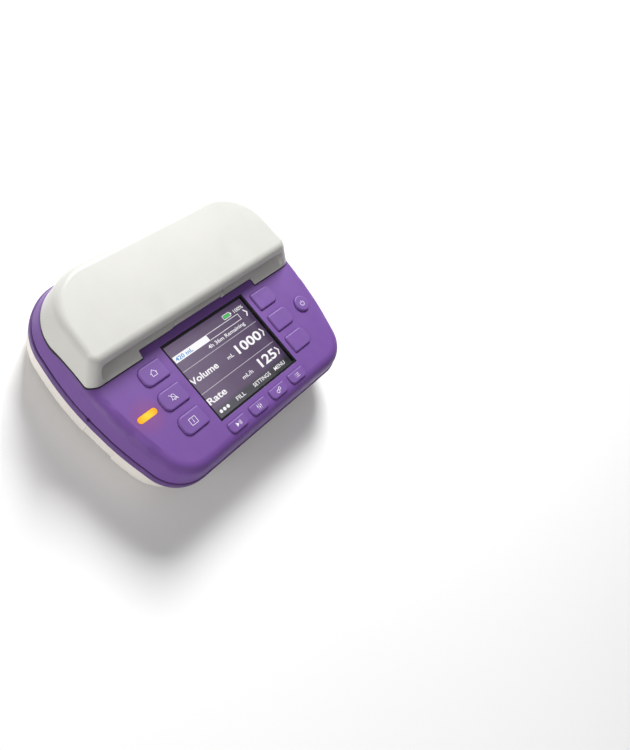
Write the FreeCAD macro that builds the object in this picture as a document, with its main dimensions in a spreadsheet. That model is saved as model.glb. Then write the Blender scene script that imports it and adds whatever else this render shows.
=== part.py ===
import FreeCAD, Part
import math
import os

import Sketcher
from FreeCAD import Placement, Rotation
from FreeCAD import Vector as V

# Portable peristaltic feeding/infusion pump, lying on its back.
# Working coordinates: display centre at x = y = 0, face at z = 0, lid side towards +Y,
# face normal +Z. In comments, "front" and "back" of the lid mean its -Y and +Y sides.
# One Placement carries every piece to the final frame: origin at the centre of the
# footprint, on the resting plane.

doc = FreeCAD.newDocument("infusion_pump")
sheet = doc.addObject("Spreadsheet::Sheet", "dims")

# Alias, value (mm, or a count of teeth), note.
DRIVING = [
    ("offset_y", -19.9, "final y of the display centre"),
    ("offset_z", 32.6, "final z of the face"),
    ("skin", 2.2, "casing wall"),
    ("face_round", 6.0, "rounding of the face edge"),
    ("groove_z", -10.0, "parting line of front cover"),
    ("band_top", -10.5, "upper edge of the band"),
    ("band_bottom", -15.0, "lower edge of the band"),
    ("back_bottom", -29.5, "underside of the back shell"),
    ("pad_bottom", -32.0, "underside of the door and dock plate"),
    ("lid_top", 12.0, "top of the lid"),
    ("lid_wall", 2.0, "top wall of the lid"),
    ("display_w", 60.0, "display opening width"),
    ("display_h", 46.7, "display opening height"),
    ("key_gap", 0.1, "clearance round each key"),
    ("key_rise", 1.0, "key height above the face"),
    ("key_w", 14.8, "side key width"),
    ("key_h", 10.4, "side key height"),
    ("key_x", 42.1, "left keys, distance from the display centre"),
    ("key_x_right", 40.5, "right keys, distance from the display centre"),
    ("key_pitch", 14.65, "side key spacing"),
    ("low_key_w", 12.2, "lower key width"),
    ("low_key_h", 6.0, "lower key height"),
    ("low_key_y", -29.3, "lower key row"),
    ("low_key_pitch", 15.7, "lower key spacing"),
    ("power_x", 58.6, "power key centre"),
    ("power_r", 4.8, "power key radius"),
    ("light_x", -58.4, "status light centre"),
    ("light_w", 11.4, "status light length"),
    ("light_h", 3.4, "status light width"),
    ("rotor_x", -40.0, "rotor axis x"),
    ("rotor_y", 52.2, "rotor axis y"),
    ("tube_z", 3.2, "height of the pump tube centre line"),
    ("tube_r", 2.9, "pump tube outside radius"),
    ("bore_r", 1.7, "pump tube bore radius"),
    ("roller_r", 3.5, "roller radius"),
    ("roller_pitch", 9.0, "roller axis to rotor axis"),
    ("roller_len", 8.6, "roller length"),
    ("pin_r", 1.0, "roller pin radius"),
    ("shaft_r", 2.0, "rotor shaft radius"),
    ("gear_module", 0.6, "gear module"),
    ("gear_teeth", 48, "teeth of the rotor gear"),
    ("pinion_teeth", 16, "teeth of the motor pinion"),
    ("gear_z", -11.2, "underside of the gears"),
    ("gear_width", 2.6, "gear face width"),
    ("leg_half", 11.0, "half the spacing of the two tube legs"),
    ("hinge_y", 75.2, "hinge axis y"),
    ("hinge_z", -3.4, "hinge axis z"),
    ("knuckle_r", 2.2, "hinge lug radius"),
    ("hinge_pin_r", 1.0, "hinge pin radius"),
    ("run_gap", 0.05, "running clearance, radial"),
    ("battery_l", 84.0, "battery length"),
    ("battery_w", 42.0, "battery width"),
    ("battery_t", 10.0, "battery thickness"),
    ("board_t", 1.2, "main board thickness"),
]


class Dims:
    """The driving dimensions, read as dims.alias, as in the expressions."""


dims = Dims()
for row, (alias, value, note) in enumerate(DRIVING, 1):
    sheet.set("A%d" % row, note)
    sheet.set("B%d" % row, str(value))
    sheet.setAlias("B%d" % row, alias)
    setattr(dims, alias, value)
doc.recompute()

PLACE = Placement(V(0, dims.offset_y, dims.offset_z), Rotation())
NODES = []


def node(obj, label):
    """Registers a finished piece for export and moves it to the final frame."""
    obj.Label = label
    obj.Placement = PLACE
    NODES.append((obj, label))


# ---------------------------------------------------------------- document objects
def box(name, x0, x1, y0, y1, z0, z1):
    obj = doc.addObject("Part::Box", name)
    obj.Length, obj.Width, obj.Height = x1 - x0, y1 - y0, z1 - z0
    obj.Placement = Placement(V(x0, y0, z0), Rotation())
    return obj


def cyl(name, x, y, z0, z1, radius):
    obj = doc.addObject("Part::Cylinder", name)
    obj.Radius, obj.Height = radius, z1 - z0
    obj.Placement = Placement(V(x, y, z0), Rotation())
    return obj


def cyls(stem, places, z0, z1, radius):
    """Equal upright cylinders, one at each (x, y)."""
    return [cyl("%s_%d" % (stem, i), x, y, z0, z1, radius) for i, (x, y) in enumerate(places)]


def cyl_x(name, x0, x1, y, z, radius):
    obj = cyl(name, 0, 0, x0, x1, radius)
    obj.Placement = Placement(V(x0, y, z), Rotation(V(0, 1, 0), 90))
    return obj


def fuse(name, shapes):
    obj = doc.addObject("Part::MultiFuse", name)
    obj.Shapes = shapes
    return obj


def cut(name, base, tools):
    obj = doc.addObject("Part::Cut", name)
    obj.Base = base
    obj.Tool = tools[0] if len(tools) == 1 else fuse(name + "_tools", tools)
    return obj


def common(name, base, tool):
    obj = doc.addObject("Part::Common", name)
    obj.Base, obj.Tool = base, tool
    return obj


def group(name, shapes):
    obj = doc.addObject("Part::Compound", name)
    obj.Links = shapes
    return obj


def feature(name, shape):
    obj = doc.addObject("Part::Feature", name)
    obj.Shape = shape
    return obj


# ---------------------------------------------------------------- bodies and sketches
def body(name):
    return doc.addObject("PartDesign::Body", name)


def sketch(owner, name, z, expression=None):
    """An empty sketch on the XY plane raised to z."""
    profile = owner.newObject("Sketcher::SketchObject", name)
    plane = [f for f in owner.Origin.OriginFeatures if f.Role == "XY_Plane"][0]
    profile.AttachmentSupport = [(plane, "")]
    profile.MapMode = "FlatFace"
    profile.AttachmentOffset = Placement(V(0, 0, z), Rotation())
    if expression:
        profile.setExpression("AttachmentOffset.Base.z", expression)
    return profile


def add_loop(profile, points):
    """A closed loop of straight lines."""
    first, count = len(profile.Geometry), len(points)
    for i, (x, y) in enumerate(points):
        x_next, y_next = points[(i + 1) % count]
        profile.addGeometry(Part.LineSegment(V(x, y, 0), V(x_next, y_next, 0)), False)
    for i in range(count):
        joint = (first + i, 2, first + (i + 1) % count, 1)
        profile.addConstraint(Sketcher.Constraint("Coincident", *joint))
    return profile


def add_rect(profile, cx, cy, width, height, width_by=None, height_by=None):
    """A rectangle held by its size and lower left corner; the _by texts are expressions."""
    first = len(profile.Geometry)
    x0, x1, y0, y1 = cx - width / 2, cx + width / 2, cy - height / 2, cy + height / 2
    add_loop(profile, [(x0, y0), (x1, y0), (x1, y1), (x0, y1)])
    for i, kind in enumerate(("Horizontal", "Vertical", "Horizontal", "Vertical")):
        profile.addConstraint(Sketcher.Constraint(kind, first + i))
    for kind, line, centre, size, size_by in (("DistanceX", first, cx, width, width_by),
                                              ("DistanceY", first + 1, cy, height, height_by)):
        length = profile.addConstraint(Sketcher.Constraint(kind, line, 1, line, 2, size))
        corner = profile.addConstraint(
            Sketcher.Constraint(kind, -1, 1, first, 1, centre - size / 2))
        if size_by:
            profile.setExpression("Constraints[%d]" % length, size_by)
            profile.setExpression("Constraints[%d]" % corner, "%.6f - (%s) / 2" % (centre, size_by))
    return profile


def add_circles(profile, circles, radius_by=None):
    """Circles from (x, y, radius); radius_by is an expression for the radii."""
    for x, y, radius in circles:
        circle = profile.addGeometry(Part.Circle(V(x, y, 0), V(0, 0, 1), radius), False)
        held = profile.addConstraint(Sketcher.Constraint("Radius", circle, radius))
        if radius_by:
            profile.setExpression("Constraints[%d]" % held, radius_by)
    return profile


def pad(owner, profile, name, length, expression=None, kind="PartDesign::Pad"):
    obj = owner.newObject(kind, name)
    obj.Profile = profile
    obj.Length = length
    if expression:
        obj.setExpression("Length", expression)
    return obj


def pocket(owner, profile, name, length):
    return pad(owner, profile, name, length, kind="PartDesign::Pocket")


def is_vertical(edge):
    bounds = edge.BoundBox
    return bounds.XLength < 1e-6 and bounds.YLength < 1e-6 and bounds.ZLength > 1e-3


def is_flat_at(edge, z):
    return abs(edge.BoundBox.ZMin - z) < 1e-4 and abs(edge.BoundBox.ZMax - z) < 1e-4


def flat_edges(shape, z):
    return [e for e in shape.Edges if is_flat_at(e, z)]


def body_fillet(owner, base, name, radius, test):
    """Rounds the edges of base that pass the test."""
    doc.recompute()
    names = ["Edge%d" % i for i, edge in enumerate(base.Shape.Edges, 1) if test(edge)]
    obj = owner.newObject("PartDesign::Fillet", name)
    obj.Base = (base, names)
    obj.Radius = radius
    doc.recompute()


# ---------------------------------------------------------------- plain shapes
def block(x0, x1, y0, y1, z0, z1):
    return Part.makeBox(x1 - x0, y1 - y0, z1 - z0, V(x0, y0, z0))


def rod(x0, x1, y, radius, z=dims.tube_z):
    """A cylinder along X, at the height of the pump tube unless z is given."""
    return Part.makeCylinder(radius, x1 - x0, V(x0, y, z), V(1, 0, 0))


def polar(centre, radius, degrees):
    angle = math.radians(degrees)
    return centre[0] + radius * math.cos(angle), centre[1] + radius * math.sin(angle)


def rect_plan(x0, x1, y0, y1, radii, grow=0.0):
    """Corners (x, y, radius), anticlockwise from the lower left; radii: one or a tuple of four."""
    if not isinstance(radii, tuple):
        radii = (radii,) * 4
    x0, x1, y0, y1 = x0 - grow, x1 + grow, y0 - grow, y1 + grow
    corners = ((x0, y0), (x1, y0), (x1, y1), (x0, y1))
    return [(x, y, radius + grow) for (x, y), radius in zip(corners, radii)]


def centred_plan(cx, cy, width, height, radii, grow=0.0):
    w, h = width / 2, height / 2
    return rect_plan(cx - w, cx + w, cy - h, cy + h, radii, grow)


def plan_wire(plan, z):
    """The wire of a polygon with rounded corners: (x, y, radius), anticlockwise."""
    lift, arcs = V(0, 0, z), []
    for i, (x, y, radius) in enumerate(plan):
        corner = V(x, y, 0)
        before, after = plan[i - 1], plan[(i + 1) % len(plan)]
        back = (V(before[0], before[1], 0) - corner).normalize()
        ahead = (V(after[0], after[1], 0) - corner).normalize()
        half = math.acos(back.dot(ahead)) / 2
        tangent = radius / math.tan(half)
        bisector = (back + ahead).normalize()
        middle = corner + bisector * (radius / math.sin(half)) - bisector * radius
        arcs.append((corner + back * tangent, middle, corner + ahead * tangent))
    edges = []
    for i, (start, middle, end) in enumerate(arcs):
        edges.append(Part.Arc(start + lift, middle + lift, end + lift).toShape())
        following = arcs[(i + 1) % len(arcs)][0]
        edges.append(Part.LineSegment(end + lift, following + lift).toShape())
    return Part.Wire(edges)


def prism(plan, z0, z1):
    return Part.Face(plan_wire(plan, z0)).extrude(V(0, 0, z1 - z0))


def loft(wires):
    """A ruled solid through the wires, turned right side out."""
    shape = Part.makeLoft(wires, True, True, False)
    if shape.ShapeType != "Solid":
        shape = Part.Solid(shape.Shells[0])
    if shape.Volume < 0:
        shape.reverse()
    return shape


def screw_set(stem, label, places, z_head, length, radius, head_radius, head_height, up=True):
    """Pan-head screws with cross recesses; up means that their points are towards +Z."""
    slot_w, slot_l, slot_depth = 0.5, head_radius * 1.2, 0.7
    way = 1 if up else -1
    axis = V(0, 0, way)
    z_slot = z_head if up else z_head - slot_depth
    screws = []
    for i, (x, y) in enumerate(places):
        head = Part.makeCylinder(head_radius, head_height, V(x, y, z_head), axis)
        head = head.makeFillet(0.35, flat_edges(head, z_head))
        z_shank = z_head + way * head_height
        shank = Part.makeCylinder(radius, length, V(x, y, z_shank), axis)
        tip = Part.makeCone(radius, radius * 0.4, radius, V(x, y, z_shank + way * length), axis)
        shape = head.fuse(shank).fuse(tip)
        for w, d in ((slot_l / 2, slot_w / 2), (slot_w / 2, slot_l / 2)):
            shape = shape.cut(block(x - w, x + w, y - d, y + d, z_slot, z_slot + slot_depth))
        screws.append(feature("%s_%d" % (stem, i), shape))
    node(group(stem + "_group", screws), label)


# ---------------------------------------------------------------- casing outlines
# Right half of each outline, from the bottom up: corner x, corner y, corner radius.
FACE_OUTLINE = [(61.1, -36.2, 17.0), (71.4, -4.5, 140.0), (72.8, 28.0, 140.0), (68.8, 75.1, 26.0)]
GROOVE_OUTLINE = [(66.3, -37.8, 20.9), (74.6, -4.5, 140.0), (77.9, 28.0, 140.0), (71.6, 77.6, 30.6)]
BAND_OUTLINE = [(67.0, -38.5, 21.6), (75.4, -4.5, 140.0), (78.75, 28.0, 140.0), (72.3, 78.3, 31.2)]
# the shell below the band stands further back along the -Y edge
SHELL_OUTLINE = [(67.74, -35.5, 24.5)] + BAND_OUTLINE[1:]


def outline(half, inset=0.0):
    """The whole outline, anticlockwise, moved inwards; the corner radii shrink with it."""
    corners = half + [(-x, y, radius) for x, y, radius in reversed(half)]
    moved = []
    for i, (x, y, radius) in enumerate(corners):
        before, after = corners[i - 1], corners[(i + 1) % len(corners)]
        arriving = V(x - before[0], y - before[1], 0).normalize()
        leaving = V(after[0] - x, after[1] - y, 0).normalize()
        normal = V(-arriving.y, arriving.x, 0)
        bisector = (normal + V(-leaving.y, leaving.x, 0)).normalize()
        shift = inset / bisector.dot(normal)
        moved.append((x + bisector.x * shift, y + bisector.y * shift, radius - inset))
    return moved


def face_solid(inset, low, lift=0.0):
    """The casing's upper form, inset and lifted: sloping side, rounded edge, flat face."""
    beyond = (low - dims.groove_z) / dims.groove_z  # the slope carries on below the groove
    base = [(gx + (gx - fx) * beyond, gy + (gy - fy) * beyond, radius)
            for (fx, fy, _), (gx, gy, radius) in zip(FACE_OUTLINE, GROOVE_OUTLINE)]
    top = lift - inset
    shape = loft([plan_wire(outline(base, inset), low + lift),
                  plan_wire(outline(FACE_OUTLINE, inset), top)])
    return shape.makeFillet(dims.face_round - inset, flat_edges(shape, top))


# ---------------------------------------------------------------- shared places
CASE_SCREWS = [(-58.5, -24.5), (58.5, -24.5), (-68.2, 27.0), (68.2, 27.0),
               (-12.0, 73.0), (12.0, 73.0)]
CHASSIS_SCREWS = [(-45.0, 32.6), (45.0, 32.6), (-63.0, 49.0), (63.0, 49.0)]
DOOR_SCREWS = [(-46.8, -20.0), (46.8, -20.0)]
BOARD_POSTS = [(-48.0, -28.0), (48.0, -28.0), (-48.0, 20.0), (48.0, 20.0)]
MAIN_Z = -10.8  # upper face of the main board
BOARD_UNDER = MAIN_Z - dims.board_t
SPEAKER = (54.5, 1.0)
NOTCH_Y, NOTCH_Z, NOTCH_R = 15.4, -10.3, 0.85  # small notch in the left side of the groove
LUGS = [(-44.0, -40.0), (-26.0, -22.0), (22.0, 26.0), (40.0, 44.0)]  # x spans
HINGE = (dims.hinge_y, dims.hinge_z)
CASE_THREAD_R, SMALL_THREAD_R = 1.02, 0.85
SCREW_CLEAR_R, SCREW_SINK_R = 1.35, 2.5

KEY_ROWS = (dims.key_pitch, 0.0, -dims.key_pitch)
KEY_SIDES = {-1: -dims.key_x, 1: dims.key_x_right}  # column centres
LOW_X = [(i - 1.5) * dims.low_key_pitch for i in range(4)]


def key_plan(side, cy, grow=0.0):
    """Side keys: large outer corners, tighter corners beside the display."""
    big, small = 3.6, 1.2
    radii = (small, big, big, small) if side > 0 else (big, small, small, big)
    return centred_plan(KEY_SIDES[side], cy, dims.key_w, dims.key_h, radii, grow)


def low_key_plan(cx, grow=0.0):
    radii = (2.6, 2.6, 0.9, 0.9)
    return centred_plan(cx, dims.low_key_y, dims.low_key_w, dims.low_key_h, radii, grow)


def light_plan(grow=0.0):
    """A slot shape; its radius falls just short of half its width."""
    return centred_plan(dims.light_x, 0, dims.light_w, dims.light_h,
                        dims.light_h / 2 - 0.001, grow)


# ---------------------------------------------------------------- front cover
HINGE_HALF = 46.0  # half length of the hinge block


def front_openings():
    low, high = -4, 3  # z span of the cutters for keys and light
    display = box("opening_display", -30, 30, -23.35, 23.35, -6, 2)
    display.setExpression("Length", "dims.display_w")
    display.setExpression("Width", "dims.display_h")
    display.setExpression("Placement.Base.x", "-dims.display_w / 2")
    display.setExpression("Placement.Base.y", "-dims.display_h / 2")
    cuts = [display]
    for side, word in ((-1, "left"), (1, "right")):
        for i, cy in enumerate(KEY_ROWS):
            cuts.append(feature("opening_side_%s_%d" % (word, i),
                                prism(key_plan(side, cy, dims.key_gap), low, high)))
    for i, cx in enumerate(LOW_X):
        cuts.append(feature("opening_low_%d" % i,
                            prism(low_key_plan(cx, dims.key_gap), low, high)))
    power = cyl("opening_power", dims.power_x, 0, low, high, dims.power_r + dims.key_gap)
    power.setExpression("Radius", "dims.power_r + dims.key_gap")
    power.setExpression("Placement.Base.x", "dims.power_x")
    cuts.append(power)
    cuts.append(feature("opening_light", prism(light_plan(0.05), low, high)))
    cuts.append(feature("opening_bay", prism(rect_plan(-60.0, 60.4, 35.0, 69.6, 16.0), -8, 4)))
    # passage for the lid's catch
    cuts.append(box("opening_catch", -8, 8, 32.2, 36, -8, 3))
    trench_end = HINGE_HALF - 0.8
    cuts.append(box("hinge_trench", -trench_end, trench_end, 72.3, 82, -6.45, 4))
    cuts += cyls("top_bore", CASE_SCREWS[4:], -11, -7.0, CASE_THREAD_R)
    cuts.append(cyl_x("notch_front", -80.0, -75.0, NOTCH_Y, NOTCH_Z, NOTCH_R))
    return cuts


def bored_posts(name, places, z0, z1, radius, bore_z0, bore_z1, bore_radius):
    bodies = cyls(name + "_body", places, z0, z1, radius)
    bores = cyls(name + "_bore", places, bore_z0, bore_z1, bore_radius)
    return [cut("%s_%d" % (name, i), *pair) for i, pair in
            enumerate((post, [bore]) for post, bore in zip(bodies, bores))]


def hinge_lug(i, x0, x1):
    (hy, hz), radius = HINGE, dims.knuckle_r
    lug = fuse("lug_%d" % i, [
        cyl_x("lug_eye_%d" % i, x0, x1, hy, hz, radius),
        box("lug_foot_%d" % i, x0, x1, hy - radius, hy + radius - 0.9, -6.6, hz)])
    bore = cyl_x("lug_bore_%d" % i, x0 - 1, x1 + 1, hy, hz, dims.hinge_pin_r + 0.02)
    return cut("lug_bored_%d" % i, lug, [bore])


front_shell = face_solid(0.0, dims.groove_z).cut(face_solid(dims.skin, dims.groove_z - 1.0))
front_shell = front_shell.fuse(block(-HINGE_HALF, HINGE_HALF, 70.2, 75.9, -9.95, -6.45))
front_parts = [cut("front_cut", feature("front_skin", front_shell), front_openings())]
front_parts += bored_posts("boss", CASE_SCREWS[:4], dims.groove_z, -1.7, 3.1,
                           -11, -4.5, CASE_THREAD_R)
front_parts += bored_posts("stud", CHASSIS_SCREWS, -4.0, -2.0, 2.0, -5, -1.2, SMALL_THREAD_R)
front_parts += [hinge_lug(i, x0, x1) for i, (x0, x1) in enumerate(LUGS)]
node(fuse("front_cover_fused", front_parts), "front_cover")

# ---------------------------------------------------------------- band and case seal
band_z0, band_z1 = dims.band_bottom, dims.band_top
band = prism(outline(BAND_OUTLINE), band_z0, band_z1)
band = band.makeFillet(0.7, flat_edges(band, band_z1) + flat_edges(band, band_z0))
band = band.cut(prism(outline(SHELL_OUTLINE, 3.6), band_z0 - 1, band_z1 + 1))
band = band.cut(rod(-80, -76, NOTCH_Y, NOTCH_R, NOTCH_Z))
node(feature("band", band), "bumper_band")

# cord between the front cover and the band
cord = prism(outline(GROOVE_OUTLINE, 0.7), band_z1 + 0.01, dims.groove_z - 0.01)
cord = cord.cut(prism(outline(GROOVE_OUTLINE, 2.0), band_z1 - 1, dims.groove_z + 1))
node(feature("seal", cord), "case_seal")

# ---------------------------------------------------------------- back cover
BACK_ROUND = 7.0
DOOR = (-50, 50, -28.9, -7.0, 6.0)  # x0, x1, y0, y1, corner radius
DOCK_Y, DOCK_W, DOCK_H, DOCK_ROUND = 48, 60, 28, 3.0


def back_solid(inset, top):
    floor = dims.back_bottom + inset
    shape = prism(outline(SHELL_OUTLINE, 1.25 + inset), floor, top)
    return shape.makeFillet(BACK_ROUND - inset, flat_edges(shape, floor))


shell_top = dims.band_bottom - 0.05
back_outer = back_solid(0.0, shell_top)
# the shell is a little fuller at its -Y end and at its +Y end
for inset, y0, y1 in ((-0.75, -63.2, -3.2), (-0.35, 14.6, 94.6)):
    fuller = back_solid(inset, shell_top).common(block(-100, 100, y0, y1, -40, 0))
    back_outer = back_outer.fuse(fuller)
back_shell = back_outer.cut(back_solid(dims.skin, dims.band_bottom + 1.0))
back_shell = back_shell.cut(rod(-80, -77, 15.6, 0.5, -21.0))

# raised pads round the battery door and under the dock plate
raised = (dims.pad_bottom + 1.2, dims.back_bottom + 1.5)
back_parts = [
    feature("back_shell", back_shell),
    feature("pad_block", prism(rect_plan(-58, 58, -31.0, -4.5, 9.0), *raised)),
    feature("dock_block", prism(rect_plan(-34, 34, 30, 66, 6.0), *raised)),
]
back_parts += cyls("post", BOARD_POSTS, -28.5, BOARD_UNDER, 2.6)
# the screw columns are trimmed to the outside of the shell
for i, column in enumerate(cyls("column", CASE_SCREWS, -28.4, dims.band_bottom, 3.3)):
    limit = feature("column_limit_%d" % i, back_outer)
    back_parts.append(common("column_fit_%d" % i, column, limit))

below = dims.pad_bottom - 1
back_cuts = [
    feature("door_opening", prism(rect_plan(*DOOR, grow=0.15), below, dims.back_bottom + 0.9)),
    feature("battery_well", prism(rect_plan(-44, 44, -27.0, -9.0, 2.0), -33, -20)),
    feature("dock_seat", prism(centred_plan(0, DOCK_Y, DOCK_W, DOCK_H, DOCK_ROUND, 0.1),
                               below, dims.back_bottom + 0.5)),
]
back_cuts += cyls("post_bore", BOARD_POSTS, -20, -8, SMALL_THREAD_R)
back_cuts += cyls("door_thread", DOOR_SCREWS, -31, -26, CASE_THREAD_R)
back_cuts += cyls("screw_clear", CASE_SCREWS, -34, -8, SCREW_CLEAR_R)
back_cuts += cyls("screw_sink", CASE_SCREWS, -34, -18.0, SCREW_SINK_R)
sound_holes = [polar(SPEAKER, 3.4, 60 * i) for i in range(6)] + [SPEAKER]
back_cuts += cyls("sound", sound_holes, -33, -24, 0.7)
node(cut("back_cut", fuse("back_fused", back_parts), back_cuts), "back_cover")

# ---------------------------------------------------------------- battery door
door_cuts = cyls("door_hole", DOOR_SCREWS, -34, -27, SCREW_CLEAR_R)
door_cuts += cyls("door_sink", DOOR_SCREWS, -34, dims.pad_bottom + 1.3, SCREW_SINK_R)
for i in range(3):
    y = -26.6 + 2.4 * i
    groove = prism(rect_plan(-9, 9, y, y + 1.0, 0.45), below, dims.pad_bottom + 0.5)
    door_cuts.append(feature("door_grip_%d" % i, groove))
door_plate = feature("door_plate", prism(rect_plan(*DOOR), dims.pad_bottom, dims.back_bottom + 0.8))
node(cut("door_cut", door_plate, door_cuts), "battery_door")

# ---------------------------------------------------------------- dock plate, contacts, feet
CONTACTS = [(-6 + 4 * i, 41) for i in range(4)]
CONTACT_R = 1.3

# two slots, a row of contact holes and one larger hole
dock = body("dock_plate_body")
profile = sketch(dock, "dock_outline", dims.pad_bottom, "dims.pad_bottom")
dock_pad = pad(dock, add_rect(profile, 0, DOCK_Y, DOCK_W, DOCK_H), "dock_pad",
               dims.back_bottom + 0.4 - dims.pad_bottom)
body_fillet(dock, dock_pad, "dock_corners", DOCK_ROUND, is_vertical)
profile = sketch(dock, "dock_slots", dims.pad_bottom + 1.5)
for x in (-20, 20):
    add_rect(profile, x, DOCK_Y, 5, 20)
pocket(dock, profile, "dock_slot_cut", 3.0)
profile = sketch(dock, "dock_window", dims.pad_bottom + 6)
add_circles(profile, [(x, y, CONTACT_R + 0.01) for x, y in CONTACTS] + [(0, 54, 2.1)])
pocket(dock, profile, "dock_window_cut", 12.0)
node(dock, "dock_plate")

node(group("contact_pins", cyls("contact_head", CONTACTS, dims.pad_bottom + 0.4, -29.2, CONTACT_R)),
     "charge_contacts")

FEET = [(-36, -14, 4.0), (36, -14, 4.0), (-26.5, 58.6, 1.7), (26.5, 58.6, 1.7)]  # x, y, radius
feet = []
for i, (x, y, radius) in enumerate(FEET):
    foot = cyl("foot_%d" % i, x, y, dims.pad_bottom - 0.6, dims.pad_bottom - 0.02, radius)
    foot.setExpression("Placement.Base.z", "dims.pad_bottom - 0.6")
    feet.append(foot)
node(group("feet_group", feet), "rubber_feet")

screw_set("case_screw", "case_screws", CASE_SCREWS, -19.6, 9.0,
          radius=1.0, head_radius=2.2, head_height=1.5)
screw_set("door_screw", "battery_door_screws", DOOR_SCREWS, dims.pad_bottom + 0.1, 2.6,
          radius=1.0, head_radius=2.2, head_height=1.1)

# ---------------------------------------------------------------- display
BEZEL_Z = -4.4  # underside of the bezel

bezel = body("bezel_body")
pad(bezel, add_rect(sketch(bezel, "bezel_flange", BEZEL_Z), 0, 0, 63, 49.6),
    "bezel_flange_pad", 2.1)
rim = add_rect(sketch(bezel, "bezel_rim", -2.35), 0, 0, dims.display_w - 0.1,
               dims.display_h - 0.1, "dims.display_w - 0.1", "dims.display_h - 0.1")
pad(bezel, rim, "bezel_rim_pad", 2.2)
pocket(bezel, add_rect(sketch(bezel, "bezel_view", 3.0), 0, 0, 58.0, 44.3),
       "bezel_view_cut", 12.0)
seat_cut = pocket(bezel, add_rect(sketch(bezel, "bezel_seat", BEZEL_Z), 0, 0, 60.4, 46.8),
                  "bezel_seat_cut", 2.05)
seat_cut.Reversed = True
node(bezel, "display_bezel")

window = body("window_body")
window_pad = pad(window, add_rect(sketch(window, "window_outline", -3.2), 0, 0, 60.2, 46.6),
                 "window_pad", 0.8)
body_fillet(window, window_pad, "window_corners", 0.5, is_vertical)
node(window, "display_window")

panel = body("panel_body")
pad(panel, add_rect(sketch(panel, "panel_outline", -7.2), 0, 0, 60.0, 46.4), "panel_pad", 3.9)
node(panel, "display_panel")

# ---------------------------------------------------------------- keys and status light
CAP_Z = -2.6  # underside of a key's cap
FLANGE_Z, FLANGE_T, FLANGE_GROW = -3.05, 0.6, 0.7
STEM_Z, STEM_R = -3.7, 1.6
FLANGE_LIMIT_X = 32.6  # the flanges stop here, clear of the bezel
SIDE_NAMES = {-1: ("key_home", "key_mute", "key_info"),
              1: ("key_soft_upper", "key_soft_middle", "key_soft_lower")}
LOW_NAMES = ("key_start_pause", "key_fill", "key_settings", "key_menu")
key_stems = []


def key(name, cap_plan, flange_plan, x, y, rise, edge_round):
    """Cap with a rounded top edge, flange below it and a stem at (x, y)."""
    cap = prism(cap_plan, CAP_Z, rise)
    cap = cap.makeFillet(edge_round, flat_edges(cap, rise))
    flange = prism(flange_plan, FLANGE_Z, FLANGE_Z + FLANGE_T)
    stem = Part.makeCylinder(STEM_R, 0.75, V(x, y, STEM_Z))
    key_stems.append((x, y))
    node(feature(name + "_solid", cap.fuse(flange).fuse(stem).removeSplitter()), name)


for side in (-1, 1):
    for name, cy in zip(SIDE_NAMES[side], KEY_ROWS):
        flange = [(side * max(side * x, FLANGE_LIMIT_X), y, radius)
                  for x, y, radius in key_plan(side, cy, FLANGE_GROW)]
        key(name, key_plan(side, cy), flange, KEY_SIDES[side], cy, dims.key_rise, 0.92)
for name, cx in zip(LOW_NAMES, LOW_X):
    reach = dims.low_key_w / 2 + 0.6
    flange = rect_plan(cx - reach, cx + reach, -31.3,
                       dims.low_key_y + dims.low_key_h / 2 + 0.5, 1.2)
    key(name, low_key_plan(cx), flange, cx, dims.low_key_y, 0.85, 0.72)

POWER_H = 3.8
power = body("power_body")
profile = add_circles(sketch(power, "power_disc", CAP_Z), [(dims.power_x, 0, dims.power_r)],
                      "dims.power_r")
power_pad = pad(power, profile, "power_pad", POWER_H)
body_fillet(power, power_pad, "power_edge", 0.9, lambda edge: is_flat_at(edge, CAP_Z + POWER_H))
for name, z, radius, height in (
        ("power_flange", FLANGE_Z, dims.power_r + FLANGE_GROW, FLANGE_T),
        ("power_stem", STEM_Z, STEM_R, 0.9)):
    profile = add_circles(sketch(power, name, z), [(dims.power_x, 0, radius)])
    pad(power, profile, name + "_pad", height)
key_stems.append((dims.power_x, 0))
node(power, "key_power")

light = prism(light_plan(), -2.3, 0.12).fuse(prism(light_plan(0.7), -3.6, -2.25))
node(feature("light_solid", light), "status_light")

# ---------------------------------------------------------------- keypad board
KEYPAD_OUTLINE = [  # x, y: a frame open towards +Y, round three sides of the display
    (-66, -10), (-60, -18), (-54, -20), (-53, -32.9), (53, -32.9), (54, -20), (60, -18), (66, -10),
    (66, 10), (60, 24), (32.4, 24), (32.4, -25.4), (-32.4, -25.4), (-32.4, 24), (-60, 24),
    (-66, 10)]
keypad = body("keypad_board_body")
pad(keypad, add_loop(sketch(keypad, "keypad_outline", -5.4), KEYPAD_OUTLINE), "keypad_pad", 0.8)
# one dome under each key
domes = add_circles(sketch(keypad, "keypad_domes", -4.7), [(x, y, 2.3) for x, y in key_stems])
pad(keypad, domes, "keypad_dome_pad", 0.35)
node(keypad, "keypad_board")

# ---------------------------------------------------------------- main board and its parts
MAIN_OUTLINE = [(-50.5, -31.4), (50.5, -31.4), (51.5, -14), (57, -8), (57, 27), (-57, 27),
                (-57, -8), (-51.5, -14)]
main_board = body("main_board_body")
profile = add_loop(sketch(main_board, "main_outline", BOARD_UNDER), MAIN_OUTLINE)
add_circles(profile, [(x, y, 1.1) for x, y in BOARD_POSTS])
pad(main_board, profile, "main_pad", dims.board_t, "dims.board_t")
node(main_board, "main_board")

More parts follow.
